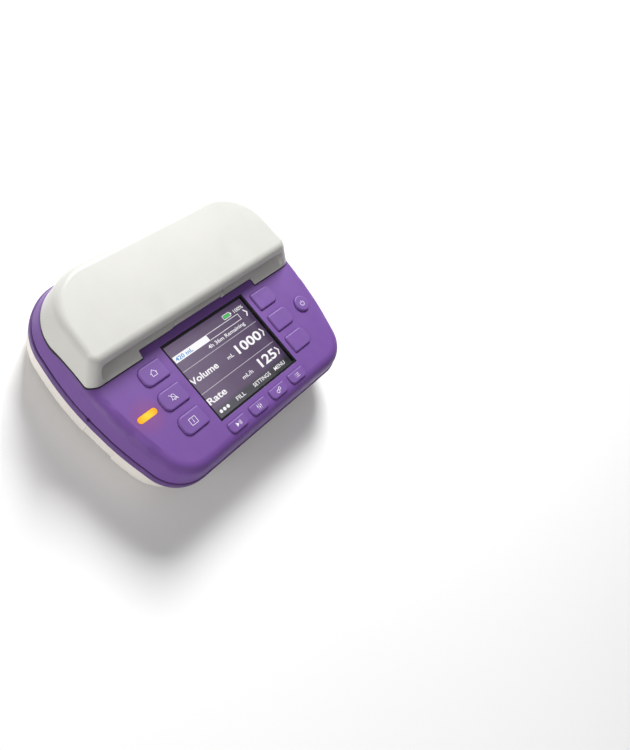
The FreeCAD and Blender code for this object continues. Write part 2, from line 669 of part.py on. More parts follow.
CHIPS = [  # centre x, centre y, width, height, thickness
    (-14, 4, 14, 14, 1.4), (12, 6, 9, 9, 1.1), (30, -10, 7, 5, 1.2),
    (-36, -8, 10, 6, 1.6), (-38, 12, 6, 6, 1.2), (28, 14, 12, 4, 2.4),
    (2, -22, 16, 4, 2.6), (-20, -24, 5, 5, 2.2), (42, 4, 5, 5, 2.2)]
chip_top = BOARD_UNDER - 0.01
chips = [box("chip_%d" % i, x - w / 2, x + w / 2, y - h / 2, y + h / 2,
             chip_top - thickness, chip_top)
         for i, (x, y, w, h, thickness) in enumerate(CHIPS)]
node(group("chip_group", chips), "board_components")
screw_set("board_screw", "board_screws", BOARD_POSTS, MAIN_Z + 1.12, 4.0,
          radius=0.8, head_radius=1.9, head_height=1.1, up=False)

# ---------------------------------------------------------------- battery and speaker
battery = body("battery_body")
profile = add_rect(sketch(battery, "battery_outline", -26.7), 0, -8.3, dims.battery_l,
                   dims.battery_w, "dims.battery_l", "dims.battery_w")
battery_pad = pad(battery, profile, "battery_pad", dims.battery_t, "dims.battery_t")
body_fillet(battery, battery_pad, "battery_round", 3.0, is_vertical)
node(battery, "battery_pack")

speaker = body("speaker_body")
for sketch_name, z, radius, pad_name, height in (
        ("speaker_frame", -27.2, 9.0, "speaker_pad", 1.6),
        ("speaker_magnet", -25.7, 6.0, "speaker_magnet_pad", 2.6)):
    profile = add_circles(sketch(speaker, sketch_name, z), [SPEAKER + (radius,)])
    pad(speaker, profile, pad_name, height)
node(speaker, "speaker")

# ---------------------------------------------------------------- pump chassis
rotor_x, rotor_y = ROTOR = (dims.rotor_x, dims.rotor_y)
LEGS = (rotor_y - dims.leg_half, rotor_y + dims.leg_half)  # y of the two tube legs
LEG_LOW, LEG_HIGH = LEGS
SENSOR_X, PLUNGER_R = 2.0, 2.5
BEARING_HOLE_R = 3.6
CHASSIS_OUTLINE = [
    (-65.8, 38), (-60, 30.4), (60, 30.4), (65.8, 38), (65.8, 53), (62, 58), (59.5, 65),
    (53, 69.9), (-53, 69.9), (-59.5, 65), (-62, 58), (-65.8, 53)]
CHASSIS_RIBS = [  # centre x, centre y, length along y
    (-22.0, 52.2, 10), (46.0, 52.2, 10), (-14.6, 40.0, 4), (-14.6, 64.4, 4),
    (51.6, 40.0, 4), (51.6, 64.4, 4)]

chassis = body("chassis_body")
pad(chassis, add_loop(sketch(chassis, "chassis_outline", -6.0), CHASSIS_OUTLINE),
    "chassis_pad", 1.95)
pad(chassis, add_circles(sketch(chassis, "bearing_boss", -8.2), [ROTOR + (5.0,)]),
    "bearing_boss_pad", 2.4)
holes = [(x, y, 1.1) for x, y in CHASSIS_SCREWS] + [ROTOR + (BEARING_HOLE_R,)]
holes += [(SENSOR_X, y, PLUNGER_R + 0.05) for y in LEGS]
pocket(chassis, add_circles(sketch(chassis, "chassis_holes", 0.0), holes), "chassis_hole_cut", 12.0)
profile = sketch(chassis, "chassis_ribs", -4.2)
for x, y, length in CHASSIS_RIBS:
    add_rect(profile, x, y, 1.2, length)
pad(chassis, profile, "chassis_rib_pad", 2.2)
node(chassis, "pump_chassis")
screw_set("chassis_screw", "chassis_screws", CHASSIS_SCREWS, -7.15, 2.9,
          radius=0.8, head_radius=1.8, head_height=1.1)

# ---------------------------------------------------------------- gear plate and bearings
motor_x = rotor_x + dims.gear_module * (dims.gear_teeth + dims.pinion_teeth) / 2.0
MOTOR = (motor_x, rotor_y)
MOTOR_SCREWS = [(motor_x, rotor_y - 6.0), (motor_x, rotor_y + 6.0)]
STANDOFFS = [(rotor_x - 17.5, rotor_y + 9.5), (rotor_x - 17.5, rotor_y - 9.5),
             (rotor_x + 32.0, rotor_y + 8), (rotor_x + 32.0, rotor_y - 8)]
PLATE_Z0, PLATE_Z1 = -14.6, -13.1

# lower plate that carries the motor and the lower bearing, on four standoffs
plate_plan = rect_plan(rotor_x - 21.5, rotor_x + 36.0, rotor_y - 13, rotor_y + 13, 5.0)
gear_plate = fuse("gear_plate_fused",
                  [feature("gear_plate_solid", prism(plate_plan, PLATE_Z0, PLATE_Z1))]
                  + cyls("standoff", STANDOFFS, PLATE_Z0, -6.02, 2.2))
plate_cuts = [cyl("gp_bearing", *ROTOR, -16, -11, BEARING_HOLE_R),
              cyl("gp_motor", *MOTOR, -16, -11, 3.05)]
plate_cuts += cyls("gp_motor_screw", MOTOR_SCREWS, -16, -11, 0.95)
node(cut("gear_plate_cut", gear_plate, plate_cuts), "gear_plate")


def bearing(name, z0, z1):
    ring = cyl(name + "_outer", *ROTOR, z0, z1, BEARING_HOLE_R - 0.02)
    bore = cyl(name + "_bore", *ROTOR, z0 - 1, z1 + 1, dims.shaft_r + dims.run_gap)
    return cut(name, ring, [bore])


node(group("bearing_pair", [bearing("bearing_upper", -8.0, -4.2),
                            bearing("bearing_lower", -14.8, -12.9)]), "rotor_bearings")

# ---------------------------------------------------------------- rotor
ROLLER_Z0 = dims.tube_z - dims.roller_len / 2
ROLLER_Z1 = dims.tube_z + dims.roller_len / 2
ROLLERS = [polar(ROTOR, dims.roller_pitch, 120 * i + 60) for i in range(3)]
DISC_R = 12.0
FIT = 0.01  # radial gap of a fixed shaft or pin

shaft = cyl("shaft_solid", *ROTOR, -15.4, 8.9, dims.shaft_r)
shaft.setExpression("Radius", "dims.shaft_r")
node(group("rotor_shaft_group", [shaft]), "rotor_shaft")


def rotor_disc(owner, name, z, radius, pad_name, height):
    profile = sketch(owner, name, z)
    add_circles(profile, [ROTOR + (radius,), ROTOR + (dims.shaft_r + FIT,)])
    pad(owner, profile, pad_name, height)


def rotor_pocket(owner, name, cut_name, places, radius):
    profile = add_circles(sketch(owner, name, 20), [(x, y, radius) for x, y in places])
    pocket(owner, profile, cut_name, 40)


base = body("rotor_base_body")
rotor_disc(base, "rotor_base_disc", ROLLER_Z0 - 1.7, DISC_R, "rotor_base_pad", 1.5)
rotor_disc(base, "rotor_base_hub", ROLLER_Z0 - 0.3, 4.4, "rotor_base_hub_pad",
           dims.roller_len + 0.3)
rotor_pocket(base, "rotor_base_holes", "rotor_base_hole_cut", ROLLERS, dims.pin_r + FIT)
node(base, "rotor_base")

rotor_cap = body("rotor_cap_body")
rotor_disc(rotor_cap, "rotor_cap_disc", ROLLER_Z1 + 0.2, DISC_R, "rotor_cap_pad", 1.1)
scoops = [polar(ROTOR, 13.6, 120 * i) for i in range(3)]
rotor_pocket(rotor_cap, "rotor_cap_scoops", "rotor_cap_scoop_cut", scoops, 5.6)
rotor_pocket(rotor_cap, "rotor_cap_holes", "rotor_cap_hole_cut", ROLLERS, dims.pin_r + FIT)
node(rotor_cap, "rotor_cap")

roller_pins = cyls("roller_pin", ROLLERS, ROLLER_Z0 - 1.6, ROLLER_Z1 + 1.25, dims.pin_r)
for pin in roller_pins:
    pin.setExpression("Radius", "dims.pin_r")
node(group("roller_pin_group", roller_pins), "roller_pins")


def roller(i, x, y):
    """A bored roller with a small step round its upper end."""
    solid = cyl("roller_solid_%d" % i, x, y, ROLLER_Z0, ROLLER_Z1, dims.roller_r)
    solid.setExpression("Radius", "dims.roller_r")
    bore = cyl("roller_bore_%d" % i, x, y, ROLLER_Z0 - 1, ROLLER_Z1 + 1,
               dims.pin_r + dims.run_gap)
    step = cut("roller_ring_tool_%d" % i,
               cyl("roller_ring_a_%d" % i, x, y, ROLLER_Z1 - 0.5, ROLLER_Z1 + 1,
                   dims.roller_r + 1),
               [cyl("roller_ring_b_%d" % i, x, y, ROLLER_Z1 - 1, ROLLER_Z1 + 2,
                    dims.roller_r - 0.4)])
    return cut("roller_cut_%d" % i, solid, [bore, step])


for i, word in enumerate(("one", "two", "three")):
    node(roller(i, *ROLLERS[i]), "roller_" + word)

# ---------------------------------------------------------------- gears
PRESSURE_ANGLE = math.radians(20)
BACKLASH = 0.12
FLANK_STEPS = 4


def involute(angle):
    return math.tan(angle) - angle


def gear(teeth, phase, centre, bore):
    """A spur gear with involute flanks; phase turns its first tooth."""
    pitch_r = dims.gear_module * teeth / 2
    base_r = pitch_r * math.cos(PRESSURE_ANGLE)
    tip_r, root_r = pitch_r + dims.gear_module, pitch_r - 1.2 * dims.gear_module
    start_r = max(base_r, root_r)
    half = math.pi / (2 * teeth) - BACKLASH / (2 * pitch_r)
    flank = []
    for i in range(FLANK_STEPS + 1):
        radius = start_r + (tip_r - start_r) * i / FLANK_STEPS
        angle = half + involute(PRESSURE_ANGLE) - involute(math.acos(base_r / radius))
        flank.append((radius, angle))
    if root_r < start_r:
        flank.insert(0, (root_r, flank[0][1]))
    points = []
    for tooth in range(teeth):
        middle = phase + 2 * math.pi * tooth / teeth
        turned = [(radius, middle - angle) for radius, angle in flank]
        turned += [(radius, middle + angle) for radius, angle in reversed(flank)]
        points += [V(centre[0] + radius * math.cos(angle), centre[1] + radius * math.sin(angle),
                     dims.gear_z) for radius, angle in turned]
    blank = Part.Face(Part.makePolygon(points + [points[0]])).extrude(V(0, 0, dims.gear_width))
    return blank.cut(Part.makeCylinder(bore, dims.gear_width + 2, V(*centre, dims.gear_z - 1)))


rotor_gear = gear(dims.gear_teeth, 0.0, ROTOR, dims.shaft_r + FIT)
for i in range(6):
    hole = V(*polar(ROTOR, 8.6, 60 * i + 30), dims.gear_z - 3)
    rotor_gear = rotor_gear.cut(Part.makeCylinder(2.6, 10, hole))
node(feature("rotor_gear_solid", rotor_gear), "rotor_gear")

# the pinion and its shaft
MOTOR_SHAFT_R = 0.75
pinion = gear(dims.pinion_teeth, math.pi / dims.pinion_teeth, MOTOR, MOTOR_SHAFT_R + FIT)
pinion = pinion.fuse(Part.makeCylinder(MOTOR_SHAFT_R, 7.2, V(*MOTOR, -15.0)))
node(feature("pinion_solid", pinion.removeSplitter()), "motor_pinion")

# ---------------------------------------------------------------- motor
motor = fuse("motor_fused", [cyl("motor_can", *MOTOR, -26.6, -14.7, 8.0),
                             cyl("motor_pilot", *MOTOR, -14.8, -13.2, 3.0),
                             cyl("motor_end", *MOTOR, -27.1, -26.5, 3.0)])
motor_cuts = [cyl("motor_bore", *MOTOR, -15.6, -12, MOTOR_SHAFT_R + dims.run_gap)]
motor_cuts += cyls("motor_screw_bore", MOTOR_SCREWS, -18, -12, 0.82)
node(cut("motor_cut", motor, motor_cuts), "gearmotor")
screw_set("motor_screw", "motor_screws", MOTOR_SCREWS, -12.35, 3.2,
          radius=0.78, head_radius=1.5, head_height=0.72, up=False)


# ---------------------------------------------------------------- sensors
def plunger(i, y):
    """A round-tipped plunger under a tube leg."""
    tip = doc.addObject("Part::Sphere", "plunger_tip_%d" % i)
    tip.Radius = PLUNGER_R
    tip.Placement = Placement(V(SENSOR_X, y, -2.25), Rotation())
    return fuse("plunger_%d" % i, [
        cyl("plunger_body_%d" % i, SENSOR_X, y, -9.0, -2.2, PLUNGER_R), tip,
        cyl("plunger_flange_%d" % i, SENSOR_X, y, -9.0, -6.05, 4.0)])


node(group("sensor_group", [plunger(i, y) for i, y in enumerate(LEGS)]), "pressure_sensors")
# a fork round the upper tube leg: name, y0, y1 from the leg, z0, z1
AIR_PARTS = [("air_base", -5.0, 5.0, -4.03, -2.4), ("air_post_a", -5.0, -3.6, -3, 1.6),
             ("air_post_b", 3.6, 5.0, -3, 1.6)]
node(fuse("air_fused", [box(name, 18.0, 26.0, LEG_HIGH + y0, LEG_HIGH + y1, z0, z1)
                        for name, y0, y1, z0, z1 in AIR_PARTS]), "air_sensor")

# ---------------------------------------------------------------- giving-set pump tube
X_FRONT, X_MID, X_TAIL = -12.0, 16.0, 43.0  # two collar stations and the carrier's tail
LOOP_R = dims.roller_pitch + dims.roller_r + 0.12 + dims.tube_r
LEG_START = rotor_x + 26.5  # x where the legs turn into the S curves
# Swelling of each leg: x, radius.
BULB = [(X_MID - 0.5, dims.tube_r), (20, 2.95), (25, 3.4), (31, 4.5), (36, 5.0),
        (X_TAIL - 0.3, 5.0)]


def s_curve(start, end):
    """A smooth S curve with both ends along X."""
    half = V((end.x - start.x) * 0.5, 0, 0)
    curve = Part.BezierCurve()
    curve.setPoles([start, start + half, end - half, end])
    return curve.toShape()


def line(start, end):
    return Part.LineSegment(start, end).toShape()


def pipe(path, radius):
    first = path.Edges[0]
    start = first.FirstParameter
    circle = Part.Circle(first.valueAt(start), first.tangentAt(start), radius)
    return path.makePipeShell([Part.Wire([circle.toShape()])], True, False)


def bulb(y):
    curve = Part.BSplineCurve()
    curve.interpolate([V(x, y + radius, dims.tube_z) for x, radius in BULB])
    (x0, radius0), (x1, radius1) = BULB[0], BULB[-1]
    start, end = V(x0, y, dims.tube_z), V(x1, y, dims.tube_z)
    half = Part.Wire([line(start, V(x0, y + radius0, dims.tube_z)), curve.toShape(),
                      line(V(x1, y + radius1, dims.tube_z), end), line(end, start)])
    solid = Part.Face(half).revolve(V(0, y, dims.tube_z), V(1, 0, 0), 360)
    return solid.cut(rod(X_MID - 6, X_MID + 54, y, dims.bore_r))


leg_low, leg_high = V(LEG_START, LEG_LOW, dims.tube_z), V(LEG_START, LEG_HIGH, dims.tube_z)
loop_high = V(rotor_x, rotor_y + LOOP_R, dims.tube_z)
loop_low = V(rotor_x, rotor_y - LOOP_R, dims.tube_z)
loop_left = V(rotor_x - LOOP_R, rotor_y, dims.tube_z)
loop_path = Part.Wire([
    line(V(X_MID, LEG_HIGH, dims.tube_z), leg_high),
    s_curve(leg_high, loop_high),
    Part.Arc(loop_high, loop_left, loop_low).toShape(),
    s_curve(loop_low, leg_low),
    line(leg_low, V(X_MID, LEG_LOW, dims.tube_z))])
pump_tube = pipe(loop_path, dims.tube_r).cut(pipe(loop_path, dims.bore_r))
for y in LEGS:
    pump_tube = pump_tube.fuse(bulb(y))
    for x in (X_FRONT, X_MID):
        collar = rod(x - 0.8, x + 0.8, y, 4.2).cut(rod(x - 2, x + 2, y, 2.0))
        pump_tube = pump_tube.fuse(collar)
node(feature("pump_tube_solid", pump_tube), "pump_tube")

# ---------------------------------------------------------------- cassette carrier
RING_R = 5.0
SPINE_WINDOWS = ((-7.5, -0.5), (2.5, 9.0), (20.5, 26), (28.5, 34.0), (36.5, 41.0))  # x spans


def collar_holder(carrier, x):
    """Adds the ring plates, hoops, cross bar and feet at one collar station."""
    for y in LEGS:
        for x0 in (x - 2.0, x + 1.0):
            plate = rod(x0, x0 + 1.0, y, RING_R).cut(rod(x0 - 1, x0 + 2, y, 3.05))
            carrier = plate if carrier is None else carrier.fuse(plate)
        # hoop joining the two plates of a pair, clear of the collar
        hoop = rod(x - 2, x + 2, y, RING_R).cut(rod(x - 3, x + 3, y, 4.3))
        hoop = hoop.cut(block(x - 3, x + 3, y - 7, y + 7, dims.tube_z + 1.0, dims.tube_z + 8))
        carrier = carrier.fuse(hoop)
    carrier = carrier.fuse(block(x - 2, x + 2, LEG_LOW + 4.4, LEG_HIGH - 4.4, 0.4, 2.2))
    for y in LEGS:
        carrier = carrier.fuse(block(x - 2, x - 0.9, y - 2.2, y + 2.2, -3.9, dims.tube_z - 4.2))
    return carrier


def carrier_tail():
    """The frame at the +X end, with sockets for the tube ends."""
    tail = block(X_TAIL, X_TAIL + 14, LEG_LOW - 5.2, LEG_HIGH + 5.2, 0.2, 6.4)
    corners = [e for e in tail.Edges if is_vertical(e) and e.BoundBox.XMin > X_TAIL + 10]
    tail = tail.makeFillet(5.0, corners)
    tail = tail.cut(block(X_TAIL + 1.5, X_TAIL + 12.5, LEG_LOW + 6.8, LEG_HIGH - 6.8, -1, 9))
    tail = tail.cut(block(X_TAIL + 3.5, X_TAIL + 8.5, LEG_LOW - 3.8, LEG_HIGH + 3.8, 5.4, 9))
    for y in LEGS:
        tail = tail.fuse(rod(X_TAIL, X_TAIL + 2, y, 5.2))
        tail = tail.fuse(rod(X_TAIL + 13, X_TAIL + 16.2, y, 3.1))
    for y in LEGS:
        tail = tail.cut(rod(X_TAIL - 2, X_TAIL + 38, y, 2.15))
    return tail


carrier = None
for x in (X_FRONT, X_MID):
    carrier = collar_holder(carrier, x)
# rails along both sides of each leg
for y in LEGS:
    for rail_y in (y - 4.2, y + 4.2):
        carrier = carrier.fuse(block(X_FRONT + 1.5, X_MID - 1.5, rail_y - 0.5, rail_y + 0.5,
                                     dims.tube_z - 0.6, dims.tube_z + 1.2))
spine = block(X_FRONT, X_TAIL + 2, rotor_y - 4.4, rotor_y + 4.4, 0.6, 2.0)
for x0, x1 in SPINE_WINDOWS:
    spine = spine.cut(block(x0, x1, rotor_y - 2.6, rotor_y + 2.6, 0, 3))
carrier = carrier.fuse(spine).fuse(carrier_tail())
node(feature("carrier_solid", carrier.removeSplitter()), "cassette_carrier")

delivery = []
for i, (y, x_end) in enumerate(((LEG_LOW, 71.6), (LEG_HIGH, 66.6))):
    tube = rod(X_TAIL + 1.0, x_end, y, 2.1).cut(rod(X_TAIL, X_TAIL + 60, y, 1.3))
    delivery.append(feature("delivery_tube_%d" % i, tube))
node(group("delivery_tube_group", delivery), "delivery_tubes")

# ---------------------------------------------------------------- lid
LID_BASE = -4.5
# Leg y and how far the tube notch widens towards -Y, the way the tube moves as the lid opens.
TUBE_NOTCHES = ((LEG_LOW, 0.9), (LEG_HIGH, 2.0))
KNUCKLES = ((-39.7, -26.3), (26.3, 39.7))  # x spans
BUTTON_HALF = 19.4
BUTTON_FRONT, BUTTON_BACK = 27.75, 31.0
BUTTON_LOW, BUTTON_TOP = 0.75, 3.35


def lid_plan(k, inset=0.0, front=None):
    """The lid's plan: k = 0 at the base, 1 at the top; front overrides the front edge's y."""
    def mix(low, high):
        return low + (high - low) * k

    if front is None:
        front = mix(19.7, 31.2) + inset
    half_front, half_back = mix(73.6, 69.2) - inset, mix(71.9, 65.9) - inset
    back = mix(75.0, 75.1) - inset
    front_r, back_r = mix(5.6, 5.0) - inset * 0.6, mix(26.0, 27.0) - inset
    return [(-half_front, front, front_r), (half_front, front, front_r),
            (half_back, back, back_r), (-half_back, back, back_r)]


def lid_form(inset=0.0):
    return loft([plan_wire(lid_plan(0, inset), LID_BASE),
                 plan_wire(lid_plan(1, inset), dims.lid_top)])


def rounded_lid():
    raw = lid_form()
    top_edges = [e for e in raw.Edges if e.BoundBox.ZMin > dims.lid_top - 1e-4]
    # a large radius can fail on the sloping corners, so smaller ones are tried in turn
    for radius in (4.4, 3.4, 3.0):
        try:
            rounded = raw.makeFillet(radius, top_edges)
            if rounded.isValid() and rounded.Volume > 0:
                return rounded
        except Exception:
            continue
    raise RuntimeError("the lid's top fillet failed")


def finger_recess():
    """Cutter for the front wall; its floor slopes down to the front edge."""
    recess = prism(rect_plan(-65, 65, 0.7, 8.7, 3.0), 0, 14.2)
    recess.rotate(V(0, 0, 0), V(1, 0, 0), 90)
    recess.translate(V(0, 30.2, 0))
    recess = recess.makeFillet(1.6, [e for e in recess.Edges if e.BoundBox.YMin > 30.1])
    section = [V(-70, y, z) for y, z in ((15, -3), (32, -3), (32, 4.1), (15, -2.55), (15, -3))]
    return recess.cut(Part.Face(Part.makePolygon(section)).extrude(V(140, 0, 0)))


def front_step():
    """Cutter for the stepped lower front edge between the lid's two ears."""
    step = block(-41.3, 41.3, 15.3, 27.3, -5.6, 2.4)
    return step.makeFillet(1.0, [e for e in step.Edges if is_vertical(e) and e.BoundBox.YMin > 20])


def button_prism(grow, low, y0, y1):
    """A long tab seen from the front: its left end curves down to the lid's edge."""
    left, right, top = -BUTTON_HALF - grow, BUTTON_HALF + grow, BUTTON_TOP + grow

    def at(x, z):
        return V(x, y0, z)

    curve = Part.BezierCurve()
    curve.setPoles([at(left, BUTTON_LOW), at(left + 0.3, 2.6), at(left + 4.2, top),
                    at(left + 9.5, top)])
    corner = Part.Arc(at(right - 0.8, top), at(right - 0.234, top - 0.234), at(right, top - 0.8))
    edges = [curve.toShape(), line(at(left + 9.5, top), at(right - 0.8, top)), corner.toShape(),
             line(at(right, top - 0.8), at(right, low)), line(at(right, low), at(left, low))]
    if low < BUTTON_LOW:
        edges.append(line(at(left, low), at(left, BUTTON_LOW)))
    return Part.Face(Part.Wire(edges)).extrude(V(0, y1 - y0, 0))


def lid_shape():
    hy, hz = HINGE
    inside = loft([plan_wire(lid_plan(0, 2.2, 32.4), LID_BASE - 0.1),
                   plan_wire(lid_plan(0.93, 2.2, 32.4), dims.lid_top - dims.lid_wall)])
    lid = rounded_lid().cut(finger_recess()).cut(front_step()).cut(inside)
    # the lid's seat follows the curved face, one seal thickness above it
    lid = lid.cut(face_solid(0.0, -12.0, lift=0.5))
    for x0, x1 in LUGS:
        lid = lid.cut(block(x0 - 0.35, x1 + 0.35, 72.0, 80.0, -6.6, 1.4))
    for y, swing in TUBE_NOTCHES:
        for k in range(5):
            lid = lid.cut(rod(56, 80, y - swing * k / 4.0, 2.6, dims.tube_z - k * 0.9))
        lid = lid.cut(block(56, 80, y - 2.6 - swing, y + 2.6,
                            dims.tube_z - 8.6, dims.tube_z - 0.6))
    lid = lid.cut(button_prism(0.2, -1.0, 20, 34.5))
    for x0, x1 in KNUCKLES:
        knuckle = rod(x0, x1, hy, dims.knuckle_r - 0.05, hz)
        web = block(x0, x1, 72.85, 75.45, -2.6, 1.2)
        bore = rod(x0 - 1, x1 + 1, hy, dims.hinge_pin_r + dims.run_gap, hz)
        lid = lid.fuse(knuckle.fuse(web)).cut(bore)
    # a wall behind the button that its springs push against
    wall = block(-15.0, 15.0, 34.6, 35.4, 0.7, 10.9).cut(block(-6.25, 6.25, 34, 37, -0.2, 5.8))
    lid = lid.fuse(wall).removeSplitter()
    # loose slivers are left behind
    return max(lid.Solids, key=lambda s: s.Volume) if len(lid.Solids) > 1 else lid


node(feature("lid_solid", lid_shape()), "lid")


# ---------------------------------------------------------------- lid seal
def seal_foot(inset, y0, y1, low):
    """The seal's footprint from y0 to y1; a negative inset makes it stand proud of the lid."""
    foot = lid_form(inset)
    foot = foot.cut(prism(lid_plan(0.16, 1.9, 29.6), -5, dims.lid_top + 1))
    foot = foot.cut(block(-41.15, 41.15, 15.3, 27.15, -5.6, 6.4))
    # clear of the hinge
    foot = foot.cut(block(-49.9, -37.9, 70, 84, -6, 6).fuse(block(-48, 48, 70.5, 82.5, -6, 6)))
    return foot.common(block(-100, 100, y0, y1, low, low + 20))


# a thin layer that follows the curved face
layer_top = face_solid(0.0, -9.0, lift=0.47)
layer_low = face_solid(0.0, -9.5, lift=0.06)
seal_front = seal_foot(-0.15, 10, 60, -3.45).common(layer_top).cut(layer_low)
seal_back = seal_foot(0.12, 60.02, 80, -6).common(layer_top).cut(layer_low)
lid_seal = Part.makeCompound(seal_front.Solids + seal_back.Solids)
for y, swing in TUBE_NOTCHES:
    lid_seal = lid_seal.cut(block(56, 80, y - 2.7 - swing, y + 2.7,
                                  dims.tube_z - 8.6, dims.tube_z - 0.6))
lid_seal = lid_seal.cut(block(-19.8, 19.8, 24, 34, -3, 5))
# slivers are left out
lid_seal = Part.makeCompound([s for s in lid_seal.Solids if s.Volume > 0.5])
node(feature("lid_seal_solid", lid_seal), "lid_seal")

# ---------------------------------------------------------------- lid liner and magnet
# inner liner with ribs above the cassette
liner = prism(rect_plan(-16, 60, 36.8, 68.6, (4.0, 4.0, 18.0, 4.0)), 8.7, 9.92)
for x in (-2, 8, 30):
    liner = liner.fuse(block(x - 0.6, x + 0.6, 45.7, 58.7, 7.4, 9.0))
liner = liner.cut(Part.makeCylinder(13.6, 6, V(*ROTOR, 6)))
node(feature("liner_solid", liner.removeSplitter()), "lid_liner")

# magnet in the lid that tells the pump the lid is shut
node(group("magnet_group", [cyl("magnet_solid", 50.0, 52.2, 6.6, 8.68, 2.0)]), "lid_magnet")

# ---------------------------------------------------------------- catch
# push button with a round nub at its right end and a hook below
button = button_prism(0.0, BUTTON_LOW, BUTTON_FRONT, BUTTON_BACK)
front_edges = [e for e in button.Edges
               if e.BoundBox.YMax < BUTTON_FRONT + 0.01 and e.BoundBox.ZMax > BUTTON_LOW + 0.5]
button = button.makeFillet(0.45, front_edges)
nub = Part.makeCylinder(1.0, 2.55, V(BUTTON_HALF - 1.1, BUTTON_FRONT + 0.35, BUTTON_LOW))
nub = nub.makeFillet(0.45, [e for e in nub.Edges if e.BoundBox.ZMin > BUTTON_LOW + 2.5])
button = button.fuse(nub)
HOOK_PARTS = [  # y0, y1, z0, z1: arm, bridge, shank, tip
    (30.8, 32.4, BUTTON_LOW, BUTTON_LOW + 2.4),
    (31.9, 34.1, BUTTON_LOW + 0.1, BUTTON_LOW + 1.6),
    (32.9, 34.2, -3.9, 1.6),
    (32.4, 33.4, -3.9, -3.3)]
for part in HOOK_PARTS:
    button = button.fuse(block(-5.5, 5.5, *part))
node(feature("latch_solid", button.removeSplitter()), "latch_button")

SPRING_PITCH, SPRING_LENGTH, SPRING_R, WIRE_R = 0.85, 2.95, 1.1, 0.2
springs = []
for i, x in enumerate((-12.0, 12.0)):
    helix = Part.makeHelix(SPRING_PITCH, SPRING_LENGTH, SPRING_R)
    section = Part.Wire([Part.Circle(V(SPRING_R, 0, 0), V(0, 1, 0), WIRE_R).toShape()])
    spring = Part.Wire(helix).makePipeShell([section], True, True)
    spring.rotate(V(0, 0, 0), V(1, 0, 0), -90)
    spring.translate(V(x, 31.3, 2.05))
    springs.append(feature("latch_spring_%d" % i, spring))
node(group("latch_spring_group", springs), "latch_springs")

# spring-steel keeper on the deck: foot, riser, upper leaf
keeper = block(-4.5, 4.5, 30.6, 32.1, -4.04, -3.76)
keeper = keeper.fuse(block(-4.5, 4.5, 31.0, 31.3, -4.04, -2.84))
keeper = keeper.fuse(block(-4.5, 4.5, 31.0, 32.6, -3.14, -2.84))
node(feature("keeper_solid", keeper.removeSplitter()), "latch_keeper")

# ---------------------------------------------------------------- hinge pins
hinge_pins = []
for i, (first, last) in enumerate((LUGS[:2], LUGS[2:])):
    pin = cyl_x("hinge_pin_%d" % i, first[0], last[1], *HINGE, dims.hinge_pin_r)
    pin.setExpression("Radius", "dims.hinge_pin_r")
    hinge_pins.append(pin)
node(group("hinge_pin_group", hinge_pins), "hinge_pins")

# ---------------------------------------------------------------- checks and export
doc.recompute()
problems = []
for obj in doc.Objects:
    bad = [state for state in obj.State if state in ("Invalid", "Error")]
    if bad:
        problems.append("%s (%s): %s" % (obj.Name, obj.Label, bad))
for obj, label in NODES:
    shape = obj.Shape
    if shape.isNull() or not shape.isValid() or not shape.Solids:
        problems.append("node %s: null, invalid or without a solid" % label)
if problems:
    raise SystemExit("\n".join(problems))
os.makedirs("parts", exist_ok=True)
for obj, label in NODES:
    obj.Shape.exportStep(os.path.join("parts", label + ".step"))
print("%d nodes written" % len(NODES))
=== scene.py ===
"""A purple pump with a lit display, keys and a lid, lying on its back on a pale floor.

This script gives them materials and adds the screen contents and the icons on the keys.
Artwork is drawn in millimetres from the display centre: X runs to the right along the words,
Y to the top of the display, and Z up out of it.
"""

import math

import bpy
import bmesh
from mathutils import Matrix, Vector


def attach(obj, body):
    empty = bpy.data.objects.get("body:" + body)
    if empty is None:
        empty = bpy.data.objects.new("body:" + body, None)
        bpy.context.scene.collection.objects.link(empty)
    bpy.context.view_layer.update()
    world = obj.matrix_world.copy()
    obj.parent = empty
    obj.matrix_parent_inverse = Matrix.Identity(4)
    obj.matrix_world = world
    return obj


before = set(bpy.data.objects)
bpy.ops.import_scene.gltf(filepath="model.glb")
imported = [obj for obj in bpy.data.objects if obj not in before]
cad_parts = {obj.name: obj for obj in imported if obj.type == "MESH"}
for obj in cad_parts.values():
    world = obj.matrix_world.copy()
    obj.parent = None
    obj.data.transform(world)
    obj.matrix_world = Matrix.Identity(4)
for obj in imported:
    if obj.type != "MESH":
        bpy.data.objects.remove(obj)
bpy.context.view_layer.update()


# Places, mm
DISPLAY_Y, DISPLAY_Z = -19.9, 32.6      # the display centre in the row frame
STATUS_LIGHT = (-58.4, 0.0, 0.0)        # the amber light, left of the display

# Screen artwork, mm
PANEL_TOP = -3.3
ART_BOTTOM = PANEL_TOP + 0.005
ART_TOP = PANEL_TOP + 0.045
ABOVE_FILL = ART_TOP + 0.035            # words that lie over the filled bar
TEXT_THICKNESS = 0.03
CAPITAL_PER_SIZE = 0.729                # capital height over font size

# Key icons, mm
SIDE_PITCH = 14.65                      # between the keys left of the display
SIDE_X = -42.1
POWER_X = 58.6
LOWER_PITCH = 15.7                      # between the keys below the display
LOWER_Y = -29.3
LOWER_X = [(-1.5 + i) * LOWER_PITCH for i in range(4)]
SIDE_TOP, POWER_TOP, LOWER_TOP = 1.0, 1.2, 0.85
ICON_SINK, ICON_RISE = 0.02, 0.035      # how far an icon goes into and out of its key
MITRE_LIMIT = 0.4                       # least mitre cosine, keeps sharp corners short

SPLIT_ANGLE = math.radians(32)


def place(x, y, z):
    """Millimetres from the display centre to row metres."""
    return Vector((x / 1000.0, (y + DISPLAY_Y) / 1000.0, (z + DISPLAY_Z) / 1000.0))


